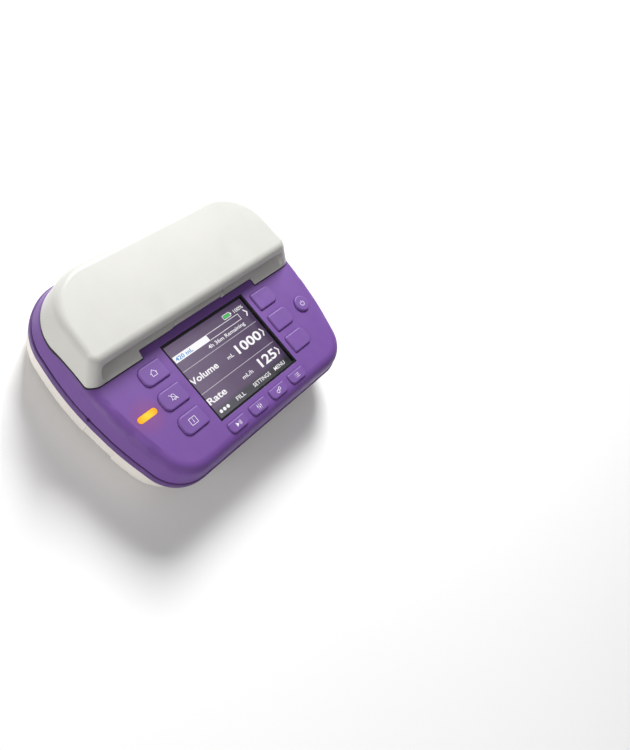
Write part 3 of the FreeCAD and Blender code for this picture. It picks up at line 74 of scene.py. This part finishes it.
# ------------------------------------------------------------------ material builder
def colour(code):
    """A hex sRGB code as linear RGBA."""
    values = [int(code[i:i + 2], 16) / 255.0 for i in (1, 3, 5)]
    return tuple(
        v / 12.92 if v <= 0.04045 else ((v + 0.055) / 1.055) ** 2.4 for v in values) + (1.0,)


def scaled(rgba, factor):
    return tuple(min(1.0, v * factor) for v in rgba[:3]) + (rgba[3],)


BLACK = (0.0, 0.0, 0.0, 1)
WHITE = (1, 1, 1, 1)


class Shader:
    """A node material. Textures use object coordinates, so their scales are per metre."""

    def __init__(self, name, principled=True):
        self.material = bpy.data.materials.new(name)
        self.material.use_nodes = True
        self.tree = self.material.node_tree
        self.tree.nodes.clear()
        self.output = self.node("OutputMaterial")
        if principled:
            self.bsdf = self.node("BsdfPrincipled")
            self.put(self.output.inputs[0], self.bsdf.outputs[0])
        self.position = self.node("TexCoord").outputs["Object"]

    def put(self, socket, value):
        """Link a socket or set a plain value."""
        if isinstance(value, bpy.types.NodeSocket):
            self.tree.links.new(value, socket)
        else:
            socket.default_value = value

    def fill(self, node, inputs):
        """Fill inputs by name, with underscores for spaces."""
        for name, value in inputs.items():
            self.put(node.inputs[name.replace("_", " ")], value)

    def node(self, kind, *values, **inputs):
        """A new node, its inputs given in order or by name."""
        node = self.tree.nodes.new("ShaderNode" + kind)
        for socket, value in zip(node.inputs, values):
            self.put(socket, value)
        self.fill(node, inputs)
        return node

    def surface(self, **inputs):
        self.fill(self.bsdf, inputs)

    def noise(self, scale, detail=3.0, rough=0.55, stretch=None):
        where = self.position
        if stretch:
            where = self.node("Mapping", Vector=where, Scale=stretch).outputs[0]
        return self.node(
            "TexNoise", Vector=where, Scale=scale, Detail=detail, Roughness=rough).outputs[0]

    def ramp(self, value, start, end, low=0.0, high=1.0):
        """Map start..end to low..high."""
        return self.node("MapRange", Value=value, From_Min=start, From_Max=end,
                         To_Min=low, To_Max=high).outputs[0]

    def patches(self, low=0.0, high=1.0, start=0.3, end=0.7, **noise):
        """Noise spread over low..high."""
        return self.ramp(self.noise(**noise), start, end, low, high)

    def mix(self, amount, first, second):
        node = self.node("Mix")
        node.data_type = "RGBA"
        for index, value in ((0, amount), (6, first), (7, second)):
            self.put(node.inputs[index], value)
        return node.outputs[2]

    def mottle(self, rgba, dark, light, scale, detail=3.0):
        """A colour varied between two brightness factors."""
        amount = self.patches(scale=scale, detail=detail)
        return self.mix(amount, scaled(rgba, dark), scaled(rgba, light))

    def math(self, operation, first, second):
        node = self.node("Math", first, second)
        node.operation = operation
        return node.outputs[0]

    def distance(self, point):
        node = self.node("VectorMath", self.position, place(*point))
        node.operation = "DISTANCE"
        return node.outputs["Value"]

    def bevel(self, radius, samples):
        node = self.node("Bevel", Radius=radius)
        node.samples = samples
        return node.outputs[0]

    def edge(self, radius):
        """1 on edges, 0 on flats: how far a small bevel turns the normal."""
        normal = self.node("NewGeometry").outputs["Normal"]
        dot = self.node("VectorMath", normal, self.bevel(radius, samples=4))
        dot.operation = "DOT_PRODUCT"
        return self.ramp(dot.outputs["Value"], start=0.99, end=0.75)

    def bump(self, height, strength, distance, **normal):
        node = self.node("Bump", Strength=strength, Distance=distance, Height=height, **normal)
        self.surface(Normal=node.outputs[0])


# ------------------------------------------------------------------ material families
def plastic(name, code, rough=0.42, grain=2600.0, bump=0.05, vary=0.06, wear=0.12,
            spec=0.45, coat=0.0, subsurface=0.0, painted_glow=None):
    """Moulded plastic: a faint mottle, uneven gloss, fine grain and polished edges."""
    shader = Shader(name)
    rgba = colour(code)
    base = shader.mottle(rgba, dark=1 - vary, light=1 + vary, scale=55.0, detail=4.0)
    specks = shader.patches(scale=grain * 0.35, start=0.62, end=0.74,
                            high=0.25 * min(1.0, vary * 6))
    base = shader.mix(specks, base, scaled(rgba, 0.8))
    edge = shader.edge(radius=0.0006)
    worn = shader.patches(scale=420.0, detail=4.0, start=0.35, low=wear * 0.3, high=wear)
    base = shader.mix(shader.math("MULTIPLY", edge, worn), base, scaled(rgba, 1.5))
    # painted light: a glow from a nearby lamp, painted into the base colour
    if painted_glow:
        base = painted_glow(shader, base)
    smear = shader.patches(scale=170.5, detail=5.0, rough=0.6, stretch=(1.0, 0.35, 1.0),
                           low=rough - 0.07, high=rough + 0.08)
    polish = shader.math("MULTIPLY", edge, 0.08)
    shader.surface(Base_Color=base, Roughness=shader.math("SUBTRACT", smear, polish),
                   Specular_IOR_Level=spec, Coat_Weight=coat)
    if subsurface:
        shader.surface(Subsurface_Weight=subsurface, Subsurface_Radius=(0.004, 0.003, 0.003))
    shader.bump(shader.noise(scale=grain, detail=2.0, rough=0.6), strength=bump,
                distance=0.0001, Normal=shader.bevel(radius=0.00025, samples=6))
    return shader.material


def metal(name, code, rough, brush=(1.0, 1.0, 30.0)):
    """Brushed metal with brighter edges; brush stretches the noise into lines."""
    shader = Shader(name)
    rgba = colour(code)
    base = shader.mottle(rgba, dark=0.88, light=1.08, scale=90.0, detail=4.0)
    worn = shader.math("MULTIPLY", shader.edge(radius=0.0004), 0.15)
    base = shader.mix(worn, base, scaled(rgba, 1.4))
    lines = shader.noise(scale=500.0, rough=0.6, stretch=brush)
    gloss = shader.ramp(lines, start=0.3, end=0.7, low=rough - 0.08, high=rough + 0.12)
    shader.surface(Base_Color=base, Metallic=1.0, Roughness=gloss)
    shader.bump(lines, strength=0.12, distance=0.00005)
    return shader.material


def clear_plastic(name, code, weight=0.85, rough=0.16):
    """Clear plastic with whitened edges; weight is the share of light let through."""
    shader = Shader(name)
    base = shader.mottle(colour(code), dark=0.93, light=1.0, scale=120.0)
    whitened = shader.math("MULTIPLY", shader.edge(radius=0.0005), 0.4)
    gloss = shader.patches(scale=240.0, detail=4.0, low=rough - 0.05, high=rough + 0.1)
    shader.surface(Base_Color=shader.mix(whitened, base, WHITE), Roughness=gloss,
                   Transmission_Weight=weight, IOR=1.45)
    shader.bump(shader.noise(scale=350.0, detail=2.0), strength=0.1, distance=0.00008)
    return shader.material


def ink(name, code, strength=0.0):
    """Flat print, or lit screen ink when it has an emission strength."""
    shader = Shader(name)
    rgba = colour(code)
    patchy = shader.patches(scale=900.0, start=0.35, high=0.12)
    base = shader.mix(patchy, rgba, scaled(rgba, 0.85))
    if strength:
        shader.surface(Base_Color=shader.mix(0.9, base, BLACK), Emission_Color=base,
                       Emission_Strength=strength)
    else:
        shader.surface(Base_Color=base)
    shader.surface(Roughness=shader.patches(scale=600.0, detail=2.0, low=0.42, high=0.58))
    return shader.material


# ------------------------------------------------------------------ single materials
def painted_amber_glow(shader, base):
    """Painted glow: the amber light's spill, painted as a pinkish warming of the cover's colour
    round the light.
    """
    amount = shader.ramp(shader.distance(STATUS_LIGHT),
                         start=0.004, end=0.0105, low=0.24, high=0.0)
    return shader.mix(amount, base, colour("#A04868"))


def silicone():
    """Soft, slightly see-through purple tube."""
    shader = Shader("purple_silicone")
    shader.surface(
        Base_Color=shader.mottle(colour("#8A67B4"), dark=0.9, light=1.1, scale=80.0, detail=4.0),
        Roughness=shader.patches(scale=300.0, low=0.3, high=0.45),
        Subsurface_Weight=0.4, Subsurface_Radius=(0.004, 0.002, 0.005),
        Transmission_Weight=0.15)
    shader.bump(shader.noise(scale=900.0, detail=2.0), strength=0.1, distance=0.0001)
    return shader.material


def board():
    """Green solder mask with raised, lighter traces."""
    shader = Shader("solder_mask")
    green = colour("#145C33")
    cells = shader.node("TexVoronoi", Scale=330.0, Vector=shader.position)
    cells.feature = "DISTANCE_TO_EDGE"
    traces = shader.ramp(cells.outputs["Distance"], start=0.02, end=0.06, low=1.0, high=0.0)
    base = shader.mix(shader.math("MULTIPLY", traces, 0.5), green, scaled(green, 1.9))
    base = shader.mix(shader.patches(scale=60.0, high=0.25), base, scaled(green, 0.7))
    shader.surface(Base_Color=base,
                   Roughness=shader.patches(scale=500.0, low=0.28, high=0.42))
    shader.bump(traces, strength=0.25, distance=0.00006)
    return shader.material


def amber():
    """The status light, brightest at its centre."""
    shader = Shader("amber_light")
    orange = colour("#F9A51A")
    core = shader.ramp(shader.distance(STATUS_LIGHT), start=0.0, end=0.006, low=1.0, high=0.0)
    base = shader.mix(core, scaled(orange, 0.85), colour("#FFC23A"))
    base = shader.mix(shader.patches(scale=700.0, high=0.3), base, scaled(orange, 0.8))
    shader.surface(
        Base_Color=base, Emission_Color=base,
        Emission_Strength=shader.ramp(core, start=0.0, end=1.0, low=0.15, high=0.32),
        Roughness=shader.patches(scale=300.0, low=0.2, high=0.35))
    shader.bump(shader.noise(scale=1500.0, detail=2.0), strength=0.08, distance=0.0001)
    return shader.material


def screen():
    """A purple-grey wash, lighter at the left, with a dark bottom strip and fine lines."""
    shader = Shader("lit_screen")
    axes = shader.node("SeparateXYZ", shader.position)
    across = shader.ramp(axes.outputs["X"], start=-0.029, end=0.020)
    base = shader.mix(across, colour("#6E6078"), colour("#4B3A58"))
    strip_top = place(0, -16.4, 0).y
    in_strip = shader.ramp(axes.outputs["Y"], start=strip_top + 0.0006, end=strip_top - 0.0022)
    strip = shader.mix(across, colour("#55555B"), colour("#303136"))
    base = shader.mix(in_strip, base, strip)
    lines = shader.node("TexWave", Scale=900.0, Vector=shader.position).outputs["Fac"]
    base = shader.mix(shader.math("MULTIPLY", lines, 0.06), base, (0.02, 0.02, 0.02, 1))
    haze = shader.patches(scale=70.0, detail=2.0, high=0.08)
    base = shader.mix(haze, base, (0.3, 0.25, 0.35, 1))
    shader.surface(Emission_Color=base, Emission_Strength=0.98,
                   Base_Color=shader.mix(0.85, base, BLACK), Roughness=0.35)
    return shader.material


def window():
    """Thin clear cover: nearly all light passes, with a faint smudged reflection."""
    shader = Shader("window_glass", principled=False)
    clear = shader.node("BsdfTransparent")
    uneven = shader.patches(scale=90.0, detail=4.0, start=0.35, low=0.04, high=0.22)
    gloss = shader.node("BsdfGlossy", Color=WHITE, Roughness=uneven)
    fresnel = shader.node("Fresnel", IOR=1.35).outputs[0]
    smudge = shader.patches(scale=45.0, detail=5.0, rough=0.6, start=0.35, end=0.75, high=0.006)
    share = shader.math("ADD", shader.math("MULTIPLY", fresnel, 0.35), smudge)
    mixer = shader.node("MixShader", share, clear.outputs[0], gloss.outputs[0])
    shader.put(shader.output.inputs[0], mixer.outputs[0])
    return shader.material


def pale_floor():
    shader = Shader("pale_floor")
    base = shader.mottle(colour("#F8F8F8"), dark=0.985, light=1.0, scale=3.0)
    shader.surface(Base_Color=base, Roughness=0.55, Specular_IOR_Level=0.3)
    return shader.material


MATERIALS = {
    # the cover carries a painted glow round the amber light
    "cover": plastic("purple_cover", "#714C96", rough=0.46, vary=0.035, wear=0.10, spec=0.32,
                     painted_glow=painted_amber_glow),
    "key": plastic("purple_key", "#735098", rough=0.47, spec=0.32, vary=0.04, wear=0.16,
                   bump=0.07, grain=3200),
    "band": plastic("purple_band", "#5F407D", rough=0.52, vary=0.05, wear=0.08, bump=0.10,
                    grain=1500, spec=0.35),
    "black": plastic("black_seal", "#121015", rough=0.6, vary=0.1, wear=0.15, bump=0.1),
    "shell": plastic("warm_white_shell", "#E4DFD8", rough=0.5, vary=0.025, wear=0.05,
                     bump=0.10, grain=1900),
    "lid": plastic("white_lid", "#C9C9C4", rough=0.38, spec=0.35, vary=0.018, wear=0.05,
                   bump=0.035, subsurface=0.05),
    "button": plastic("latch_plastic", "#D2CFCC", vary=0.03, wear=0.08),
    "liner": plastic("liner_plastic", "#CFCFCB", rough=0.5, vary=0.03, wear=0.06, bump=0.08),
    "dark": plastic("dark_plastic", "#26262A", rough=0.5, vary=0.08, wear=0.16, bump=0.1),
    "bezel": plastic("bezel_black", "#0B0C0E", rough=0.48, vary=0.12, wear=0.15, spec=0.18),
    "mech": plastic("mechanism_grey", "#55565A", rough=0.5, bump=0.08),
    "rotor": plastic("rotor_white", "#DAD9D4", vary=0.03, wear=0.06),
    "roller": plastic("roller_acetal", "#F0EEE8", rough=0.25, vary=0.03, wear=0.03,
                      bump=0.03, coat=0.3),
    "gear": plastic("gear_acetal", "#E4DDC6", rough=0.4, vary=0.04, wear=0.05),
    "rubber": plastic("black_rubber", "#1B1B1D", rough=0.75, vary=0.1, wear=0.05, bump=0.2,
                      grain=1200, spec=0.25),
    "chip": plastic("component_black", "#1A1B1D", rough=0.55, vary=0.1, wear=0.1, bump=0.12),
    "cell": plastic("battery_sleeve", "#274B8C", rough=0.35, wear=0.1, bump=0.06, coat=0.2),
    "steel": metal("ground_steel", "#B8B9BC", rough=0.28),
    "motor": metal("motor_can", "#A9AAAD", rough=0.36, brush=(1.0, 1.0, 40.0)),
    "spring": metal("spring_steel", "#9FA0A2", rough=0.25, brush=(20.0, 1.0, 1.0)),
    "alu": metal("sheet_aluminium", "#C9CBCE", rough=0.38, brush=(30.0, 1.0, 1.0)),
    "bronze": metal("sintered_bronze", "#B08A4E", rough=0.42),
    "gold": metal("gold_contact", "#E2B857", rough=0.2),
    "clear": clear_plastic("clear_carrier", "#E4E8F2"),
    "tube_clear": clear_plastic("soft_clear_tube", "#E6E2F0", weight=0.7, rough=0.25),
    "silicone": silicone(),
    "board": board(),
    "amber": amber(),
    "screen": screen(),
    "window": window(),
    "print": ink("white_print", "#E6DEEE"),
    "ui_white": ink("screen_white", "#F6F4F7", strength=0.95),
    "ui_blue": ink("screen_blue", "#2E96D6", strength=0.85),
    "ui_green": ink("screen_green", "#46C65B", strength=0.85),
    "ui_line": ink("screen_line", "#D9D4DE", strength=0.8),
}

# Material: the pieces made of it
PIECES = {
    "cover": "front_cover",
    "band": "bumper_band",
    "black": "case_seal lid_seal",
    "shell": "back_cover battery_door",
    "lid": "lid",
    "button": "latch_button",
    "liner": "lid_liner",
    "dark": "dock_plate speaker air_sensor",
    "bezel": "display_bezel",
    "mech": "pump_chassis",
    "rotor": "rotor_base rotor_cap",
    "roller": "roller_one roller_two roller_three",
    "gear": "rotor_gear",
    "rubber": "rubber_feet pressure_sensors",
    "chip": "board_components",
    "cell": "battery_pack",
    "steel": "case_screws battery_door_screws board_screws chassis_screws motor_screws "
             "hinge_pins lid_magnet rotor_shaft roller_pins motor_pinion",
    "motor": "gearmotor",
    "spring": "latch_keeper latch_springs",
    "alu": "gear_plate",
    "bronze": "rotor_bearings",
    "gold": "charge_contacts",
    "clear": "cassette_carrier",
    "tube_clear": "delivery_tubes",
    "silicone": "pump_tube",
    "board": "keypad_board main_board",
    "amber": "status_light",
    "screen": "display_panel",
    "window": "display_window",
}
MATERIAL_OF = {piece: key for key, names in PIECES.items() for piece in names.split()}


def dress(name, piece):
    """Give a loaded piece its material and smooth shading with crisp edges."""
    key = MATERIAL_OF.get(name, "key" if name.startswith("key_") else "dark")
    piece.data.materials.clear()
    piece.data.materials.append(MATERIALS[key])
    for face in piece.data.polygons:
        face.use_smooth = True
        face.material_index = 0
    split = piece.modifiers.new("smooth_by_edge", "EDGE_SPLIT")
    split.split_angle = SPLIT_ANGLE


for piece_name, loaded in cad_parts.items():
    dress(piece_name, loaded)


# ------------------------------------------------------------------ drawing tools
def add_mesh(name, shape, material, body):
    """Turn a bmesh into an object that rides on a body."""
    data = bpy.data.meshes.new(name)
    bmesh.ops.recalc_face_normals(shape, faces=shape.faces)
    shape.to_mesh(data)
    shape.free()
    data.materials.append(MATERIALS[material])
    added = bpy.data.objects.new(name, data)
    bpy.context.scene.collection.objects.link(added)
    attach(added, body)


def arc(x, y, radius, start, end, steps):
    """Points along an arc, its angles in degrees."""
    angles = [math.radians(start + (end - start) * i / steps) for i in range(steps + 1)]
    return [(x + radius * math.cos(a), y + radius * math.sin(a)) for a in angles]


def disc(x, y, radius, steps):
    return arc(x, y, radius, 0, 360, steps)[:-1]


def rectangle(x0, x1, y0, y1):
    return [(x0, y0), (x1, y0), (x1, y1), (x0, y1)]


def rounded_rectangle(x0, x1, y0, y1, radius):
    left, right, low, high = x0 + radius, x1 - radius, y0 + radius, y1 - radius
    corners = ((right, low, -90), (right, high, 0), (left, high, 90), (left, low, 180))
    return [point for x, y, start in corners
            for point in arc(x, y, radius, start, start + 90, steps=3)]


class Sketch:
    """Flat raised artwork between two heights, drawn about a centre.

    Each shape may go lower than the bottom by drop and above the top by rise."""

    def __init__(self, bottom=ART_BOTTOM, top=ART_TOP, x=0.0, y=0.0):
        self.bottom, self.top = bottom, top
        self.x, self.y = x, y
        self.shape = bmesh.new()

    def moved(self, points):
        return [(self.x + x, self.y + y) for x, y in points]

    def ring(self, points, z):
        return [self.shape.verts.new(place(x, y, z)) for x, y in points]

    def join(self, first, second):
        """Faces between two closed rings of vertices."""
        count = len(first)
        for i in range(count):
            j = (i + 1) % count
            self.shape.faces.new((first[i], first[j], second[j], second[i]))

    def prism(self, points, bottom, top):
        lower = self.ring(points, bottom)
        upper = self.ring(points, top)
        self.shape.faces.new(upper)
        self.shape.faces.new(list(reversed(lower)))
        self.join(lower, upper)

    def slab(self, outline, drop=0.0, rise=0.0):
        self.prism(self.moved(outline), self.bottom - drop, self.top + rise)

    def stroke(self, points, width, closed=False, drop=0.0, rise=0.0):
        """A line of even width with mitred corners."""
        path = [Vector(point) for point in self.moved(points)]
        follow = path[1:] + path[:1]
        steps = [(after - here).normalized() for here, after in zip(path, follow)]
        if closed:
            arriving, leaving = steps[-1:] + steps[:-1], steps
        else:
            steps.pop()
            arriving, leaving = steps[:1] + steps, steps + steps[-1:]
        lefts, rights = [], []
        for point, before, after in zip(path, arriving, leaving):
            mitre = Vector((-(before.y + after.y), before.x + after.x))
            mitre.normalize()
            cosine = mitre.dot(Vector((-before.y, before.x)))
            reach = (width / 2) / max(MITRE_LIMIT, cosine)
            lefts.append((point.x + mitre.x * reach, point.y + mitre.y * reach))
            rights.append((point.x - mitre.x * reach, point.y - mitre.y * reach))
        bottom, top = self.bottom - drop, self.top + rise
        if not closed:
            self.prism(lefts + rights[::-1], bottom, top)
            return
        sections = ((lefts, bottom), (rights, bottom), (rights, top), (lefts, top))
        rings = [self.ring(side, z) for side, z in sections]
        for i in range(4):
            self.join(rings[i], rings[(i + 1) % 4])

    def finish(self, name, material="ui_white", body="case"):
        add_mesh(name, self.shape, material, body)


def add_text(name, words, x, y, height, width, weight, z, material):
    """Words with capitals of a height, stretched to a width, their lower left at x, y."""
    curve = bpy.data.curves.new(name, "FONT")
    curve.body = words
    curve.size = height / CAPITAL_PER_SIZE / 1000.0
    curve.offset = weight / 1000.0
    curve.extrude = TEXT_THICKNESS / 2000.0
    curve.resolution_u = 3
    holder = bpy.data.objects.new(name + "_curve", curve)
    bpy.context.scene.collection.objects.link(holder)
    bpy.context.view_layer.update()
    graph = bpy.context.evaluated_depsgraph_get()
    data = bpy.data.meshes.new_from_object(holder.evaluated_get(graph))
    bpy.data.objects.remove(holder)
    xs = [v.co.x for v in data.vertices]
    stretch = (width / 1000.0) / (max(xs) - min(xs))
    data.transform(Matrix.Diagonal((stretch, 1, 1, 1)))
    shape = bmesh.new()
    shape.from_mesh(data)
    bpy.data.meshes.remove(data)
    bmesh.ops.remove_doubles(shape, verts=shape.verts, dist=1e-7)
    for v in shape.verts:
        v.co = v.co + place(x, y, z)
    add_mesh(name, shape, material, "case")


# ------------------------------------------------------------------ screen contents
def add_progress_bar():
    """A filled part at the left and an outlined part, open to the left, beside it."""
    art = Sketch()
    art.slab(rectangle(-26.6, -2.4, 12.5, 16.1))
    art.finish("ui_bar_fill")
    art = Sketch()
    art.stroke(rectangle(-2.2, 22.0, 12.6, 16.0), width=0.28)
    art.finish("ui_bar_outline")


def add_rules():
    art = Sketch()
    for y in (7.15, -7.0):
        art.stroke([(-27.6, y), (28.4, y)], width=0.26)
    art.finish("ui_rules", "ui_line")


def add_chevrons():
    art = Sketch()
    for y, half_height in ((14.2, 2.0), (0.6, 2.3), (-12.2, 2.3)):
        art.stroke([(26.4, y + half_height), (27.8, y), (26.4, y - half_height)], width=0.75)
    art.finish("ui_chevrons")


def add_dots():
    art = Sketch()
    for x in (-24.4, -21.9, -19.4):
        art.slab(disc(x, -19.25, radius=0.95, steps=24))
    art.finish("ui_dots")


def add_battery():
    """A battery outline with its terminal, then the charge level."""
    art = Sketch()
    art.stroke(rounded_rectangle(12.9, 18.2, 17.1, 19.5, radius=0.35), width=0.3, closed=True)
    art.slab(rectangle(18.4, 19.0, 17.8, 18.8))
    art.finish("ui_battery_outline")
    art = Sketch()
    art.slab(rectangle(13.35, 17.75, 17.5, 19.1))
    art.finish("ui_battery_level", "ui_green")


add_progress_bar()
add_rules()
add_chevrons()
add_dots()
add_battery()

# Name, words, left x, baseline y, capital height, width, added weight, z, material (mm)
TEXTS = (
    ("percent", "100%", 20.2, 17.2, 2.0, 7.0, 0.02, ART_TOP, "ui_white"),
    ("given", "420 mL", -25.6, 13.2, 2.2, 11.6, 0.05, ABOVE_FILL, "ui_blue"),
    ("time_left", "4h 36m Remaining", -6.0, 9.0, 2.2, 27.6, 0.02, ART_TOP, "ui_white"),
    ("volume_word", "Volume", -27.5, -1.0, 3.6, 19.2, 0.10, ART_TOP, "ui_white"),
    ("volume_unit", "mL", -1.5, -1.0, 2.2, 4.4, 0.02, ART_TOP, "ui_white"),
    ("volume_number", "1000", 4.4, -1.9, 5.3, 18.8, 0.16, ART_TOP, "ui_white"),
    ("rate_word", "Rate", -27.5, -13.8, 3.6, 12.6, 0.10, ART_TOP, "ui_white"),
    ("rate_unit", "mL/h", -2.0, -13.8, 2.2, 7.6, 0.02, ART_TOP, "ui_white"),
    ("rate_number", "125", 10.2, -14.6, 5.3, 13.0, 0.16, ART_TOP, "ui_white"),
    ("fill", "FILL", -13.2, -20.3, 2.2, 6.4, 0.02, ART_TOP, "ui_white"),
    ("settings", "SETTINGS", 0.2, -20.3, 2.2, 13.2, 0.02, ART_TOP, "ui_white"),
    ("menu", "MENU", 17.0, -20.3, 2.2, 8.4, 0.02, ART_TOP, "ui_white"),
)
for text_name, *details in TEXTS:
    add_text("ui_" + text_name, *details)


# ------------------------------------------------------------------ icons on the keys
def draw_home(art):
    """A house outline whose roof runs past its walls."""
    wall, base, eave, peak = 1.35, -1.5, 0.35, 1.7
    art.stroke([(-wall, base), (wall, base), (wall, eave), (0, peak), (-wall, eave)],
               width=0.26, closed=True)
    for side in (1, -1):
        art.stroke([(side * wall, eave), (side * 1.9, -0.2)], width=0.26,
                   drop=0.001, rise=0.001)


def draw_bell(art):
    """A bell and its clapper, struck through."""
    dome = arc(0, 0.35, radius=1.05, start=180, end=0, steps=12)
    art.stroke([(-1.6, -1.1), (-1.15, -0.55)] + dome + [(1.15, -0.55), (1.6, -1.1)],
               width=0.24, closed=True)
    art.stroke(arc(0, -1.25, radius=0.45, start=200, end=340, steps=8), width=0.24, rise=-0.004)
    art.stroke([(-1.9, 1.75), (1.9, -1.85)], width=0.26, drop=-0.002, rise=0.006)


def draw_book(art):
    """A rounded frame round a letter i."""
    art.stroke(rounded_rectangle(-2.0, 2.0, -1.75, 1.75, radius=0.3), width=0.26, closed=True)
    art.stroke([(0, -0.95), (0, 0.45)], width=0.34)
    art.slab(disc(0, 1.0, radius=0.24, steps=14))


def draw_power(art):
    """A ring open at the top, with an upright line in the gap."""
    art.stroke(arc(0, -0.1, radius=1.35, start=125, end=415, steps=26), width=0.3)
    art.stroke([(0, 0.2), (0, 1.7)], width=0.3)


def draw_play_pause(art):
    """A triangle and two upright bars."""
    half_height = 1.15
    art.slab([(-1.7, -half_height), (0.1, 0), (-1.7, half_height)])
    for left, right in ((0.55, 0.85), (1.35, 1.65)):
        art.slab(rectangle(left, right, -half_height, half_height))


def draw_levels(art):
    """Three upright lines, each with a block part way up."""
    for x, y in ((-1.1, 0.45), (0.0, -0.45), (1.1, 0.2)):
        art.stroke([(x, -1.5), (x, 1.5)], width=0.2)
        art.slab(rectangle(x - 0.38, x + 0.38, y - 0.28, y + 0.28), drop=0.001, rise=0.004)


def draw_cogs(art):
    """Two toothed rings; each tooth and each gap has two points."""
    points = 32
    for x, y, radius in ((-0.75, -0.35, 0.85), (1.0, 0.6, 0.7)):
        outline = []
        for i in range(points):
            angle = 2 * math.pi * i / points
            reach = radius * (1.14 if (i // 2) % 2 == 0 else 0.92)
            outline.append((x + reach * math.cos(angle), y + reach * math.sin(angle)))
        art.stroke(outline, width=0.24, closed=True)


def draw_list(art):
    """Three level lines, each after a dot."""
    for y in (-0.9, 0.0, 0.9):
        art.stroke([(-0.7, y), (1.4, y)], width=0.26)
        art.slab(disc(-1.35, y, radius=0.18, steps=12))


# Icon, key, drawing, centre x, centre y, key top z (mm)
ICONS = (
    ("home", "home", draw_home, SIDE_X, SIDE_PITCH, SIDE_TOP),
    ("mute", "mute", draw_bell, SIDE_X, 0.0, SIDE_TOP),
    ("book", "info", draw_book, SIDE_X, -SIDE_PITCH, SIDE_TOP),
    ("power", "power", draw_power, POWER_X, 0.0, POWER_TOP),
    ("play_pause", "start_pause", draw_play_pause, LOWER_X[0], LOWER_Y, LOWER_TOP),
    ("levels", "fill", draw_levels, LOWER_X[1], LOWER_Y, LOWER_TOP),
    ("cogs", "settings", draw_cogs, LOWER_X[2], LOWER_Y, LOWER_TOP),
    ("lines", "menu", draw_list, LOWER_X[3], LOWER_Y, LOWER_TOP),
)
for icon, key_name, draw, x, y, z in ICONS:
    icon_art = Sketch(z - ICON_SINK, z + ICON_RISE, x, y)
    draw(icon_art)
    icon_art.finish("icon_" + icon, "print", "key_" + key_name + "_body")


# ------------------------------------------------------------------ floor, light and camera
def add_floor(half=4.0):
    """A square floor at z = 0, its half width in metres."""
    data = bpy.data.meshes.new("floor")
    corners = [(x, y, 0) for x, y in rectangle(-half, half, -half, half)]
    data.from_pydata(corners, [], [(0, 1, 2, 3)])
    data.materials.append(pale_floor())
    floor = bpy.data.objects.new("floor", data)
    bpy.context.scene.collection.objects.link(floor)


def add_world():
    world = bpy.data.worlds.new("studio")
    bpy.context.scene.world = world
    world.use_nodes = True
    background = world.node_tree.nodes["Background"]
    background.inputs["Color"].default_value = WHITE
    background.inputs["Strength"].default_value = 0.15
    bpy.context.scene.view_settings.view_transform = "Standard"


def add_light(name, at, size, watts, target=(0, 0, 0), color=(1, 1, 1)):
    """A rectangular light at a place in metres, aimed at a target."""
    data = bpy.data.lights.new(name, "AREA")
    data.shape = "RECTANGLE"
    data.size, data.size_y = size
    data.energy = watts
    data.color = color
    light = bpy.data.objects.new(name, data)
    light.location = at
    light.rotation_euler = (Vector(target) - Vector(at)).to_track_quat("-Z", "Y").to_euler()
    bpy.context.scene.collection.objects.link(light)


def add_camera():
    """A camera left of the display and above it; right and up are its own axes."""
    data = bpy.data.cameras.new("camera")
    data.sensor_width = 36.0
    data.lens = 34.91
    data.clip_start = 0.01
    camera = bpy.data.objects.new("camera", data)
    right = Vector((0.58896212, -0.64093507, 0.49226604))
    up = Vector((0.50052243, 0.76752298, 0.40048192))
    back = right.cross(up).normalized()
    up = back.cross(right).normalized()
    right.normalize()
    turn = Matrix((right, up, back)).transposed().to_4x4()
    camera.matrix_world = Matrix.Translation(place(-215.145, -31.294, 302.671)) @ turn
    bpy.context.scene.collection.objects.link(camera)
    bpy.context.scene.camera = camera


add_floor()
add_world()
add_light("key_light", at=(0.63, 0.66, 0.72), size=(0.42, 0.42), watts=20.8)
add_light("top_light", at=(0.0, 0.1, 1.3), size=(1.0, 1.0), watts=1.2)
add_light("left_light", at=(-0.95, 0.10, 0.28), size=(0.5, 0.4), watts=4.2,
          target=(0, 0, 0.02), color=(1.0, 0.98, 0.965))
add_light("front_light", at=(-0.40, -0.90, 0.55), size=(0.6, 0.5), watts=1.4,
          target=(0, 0.02, 0.03), color=(1.0, 0.97, 0.99))
add_camera()
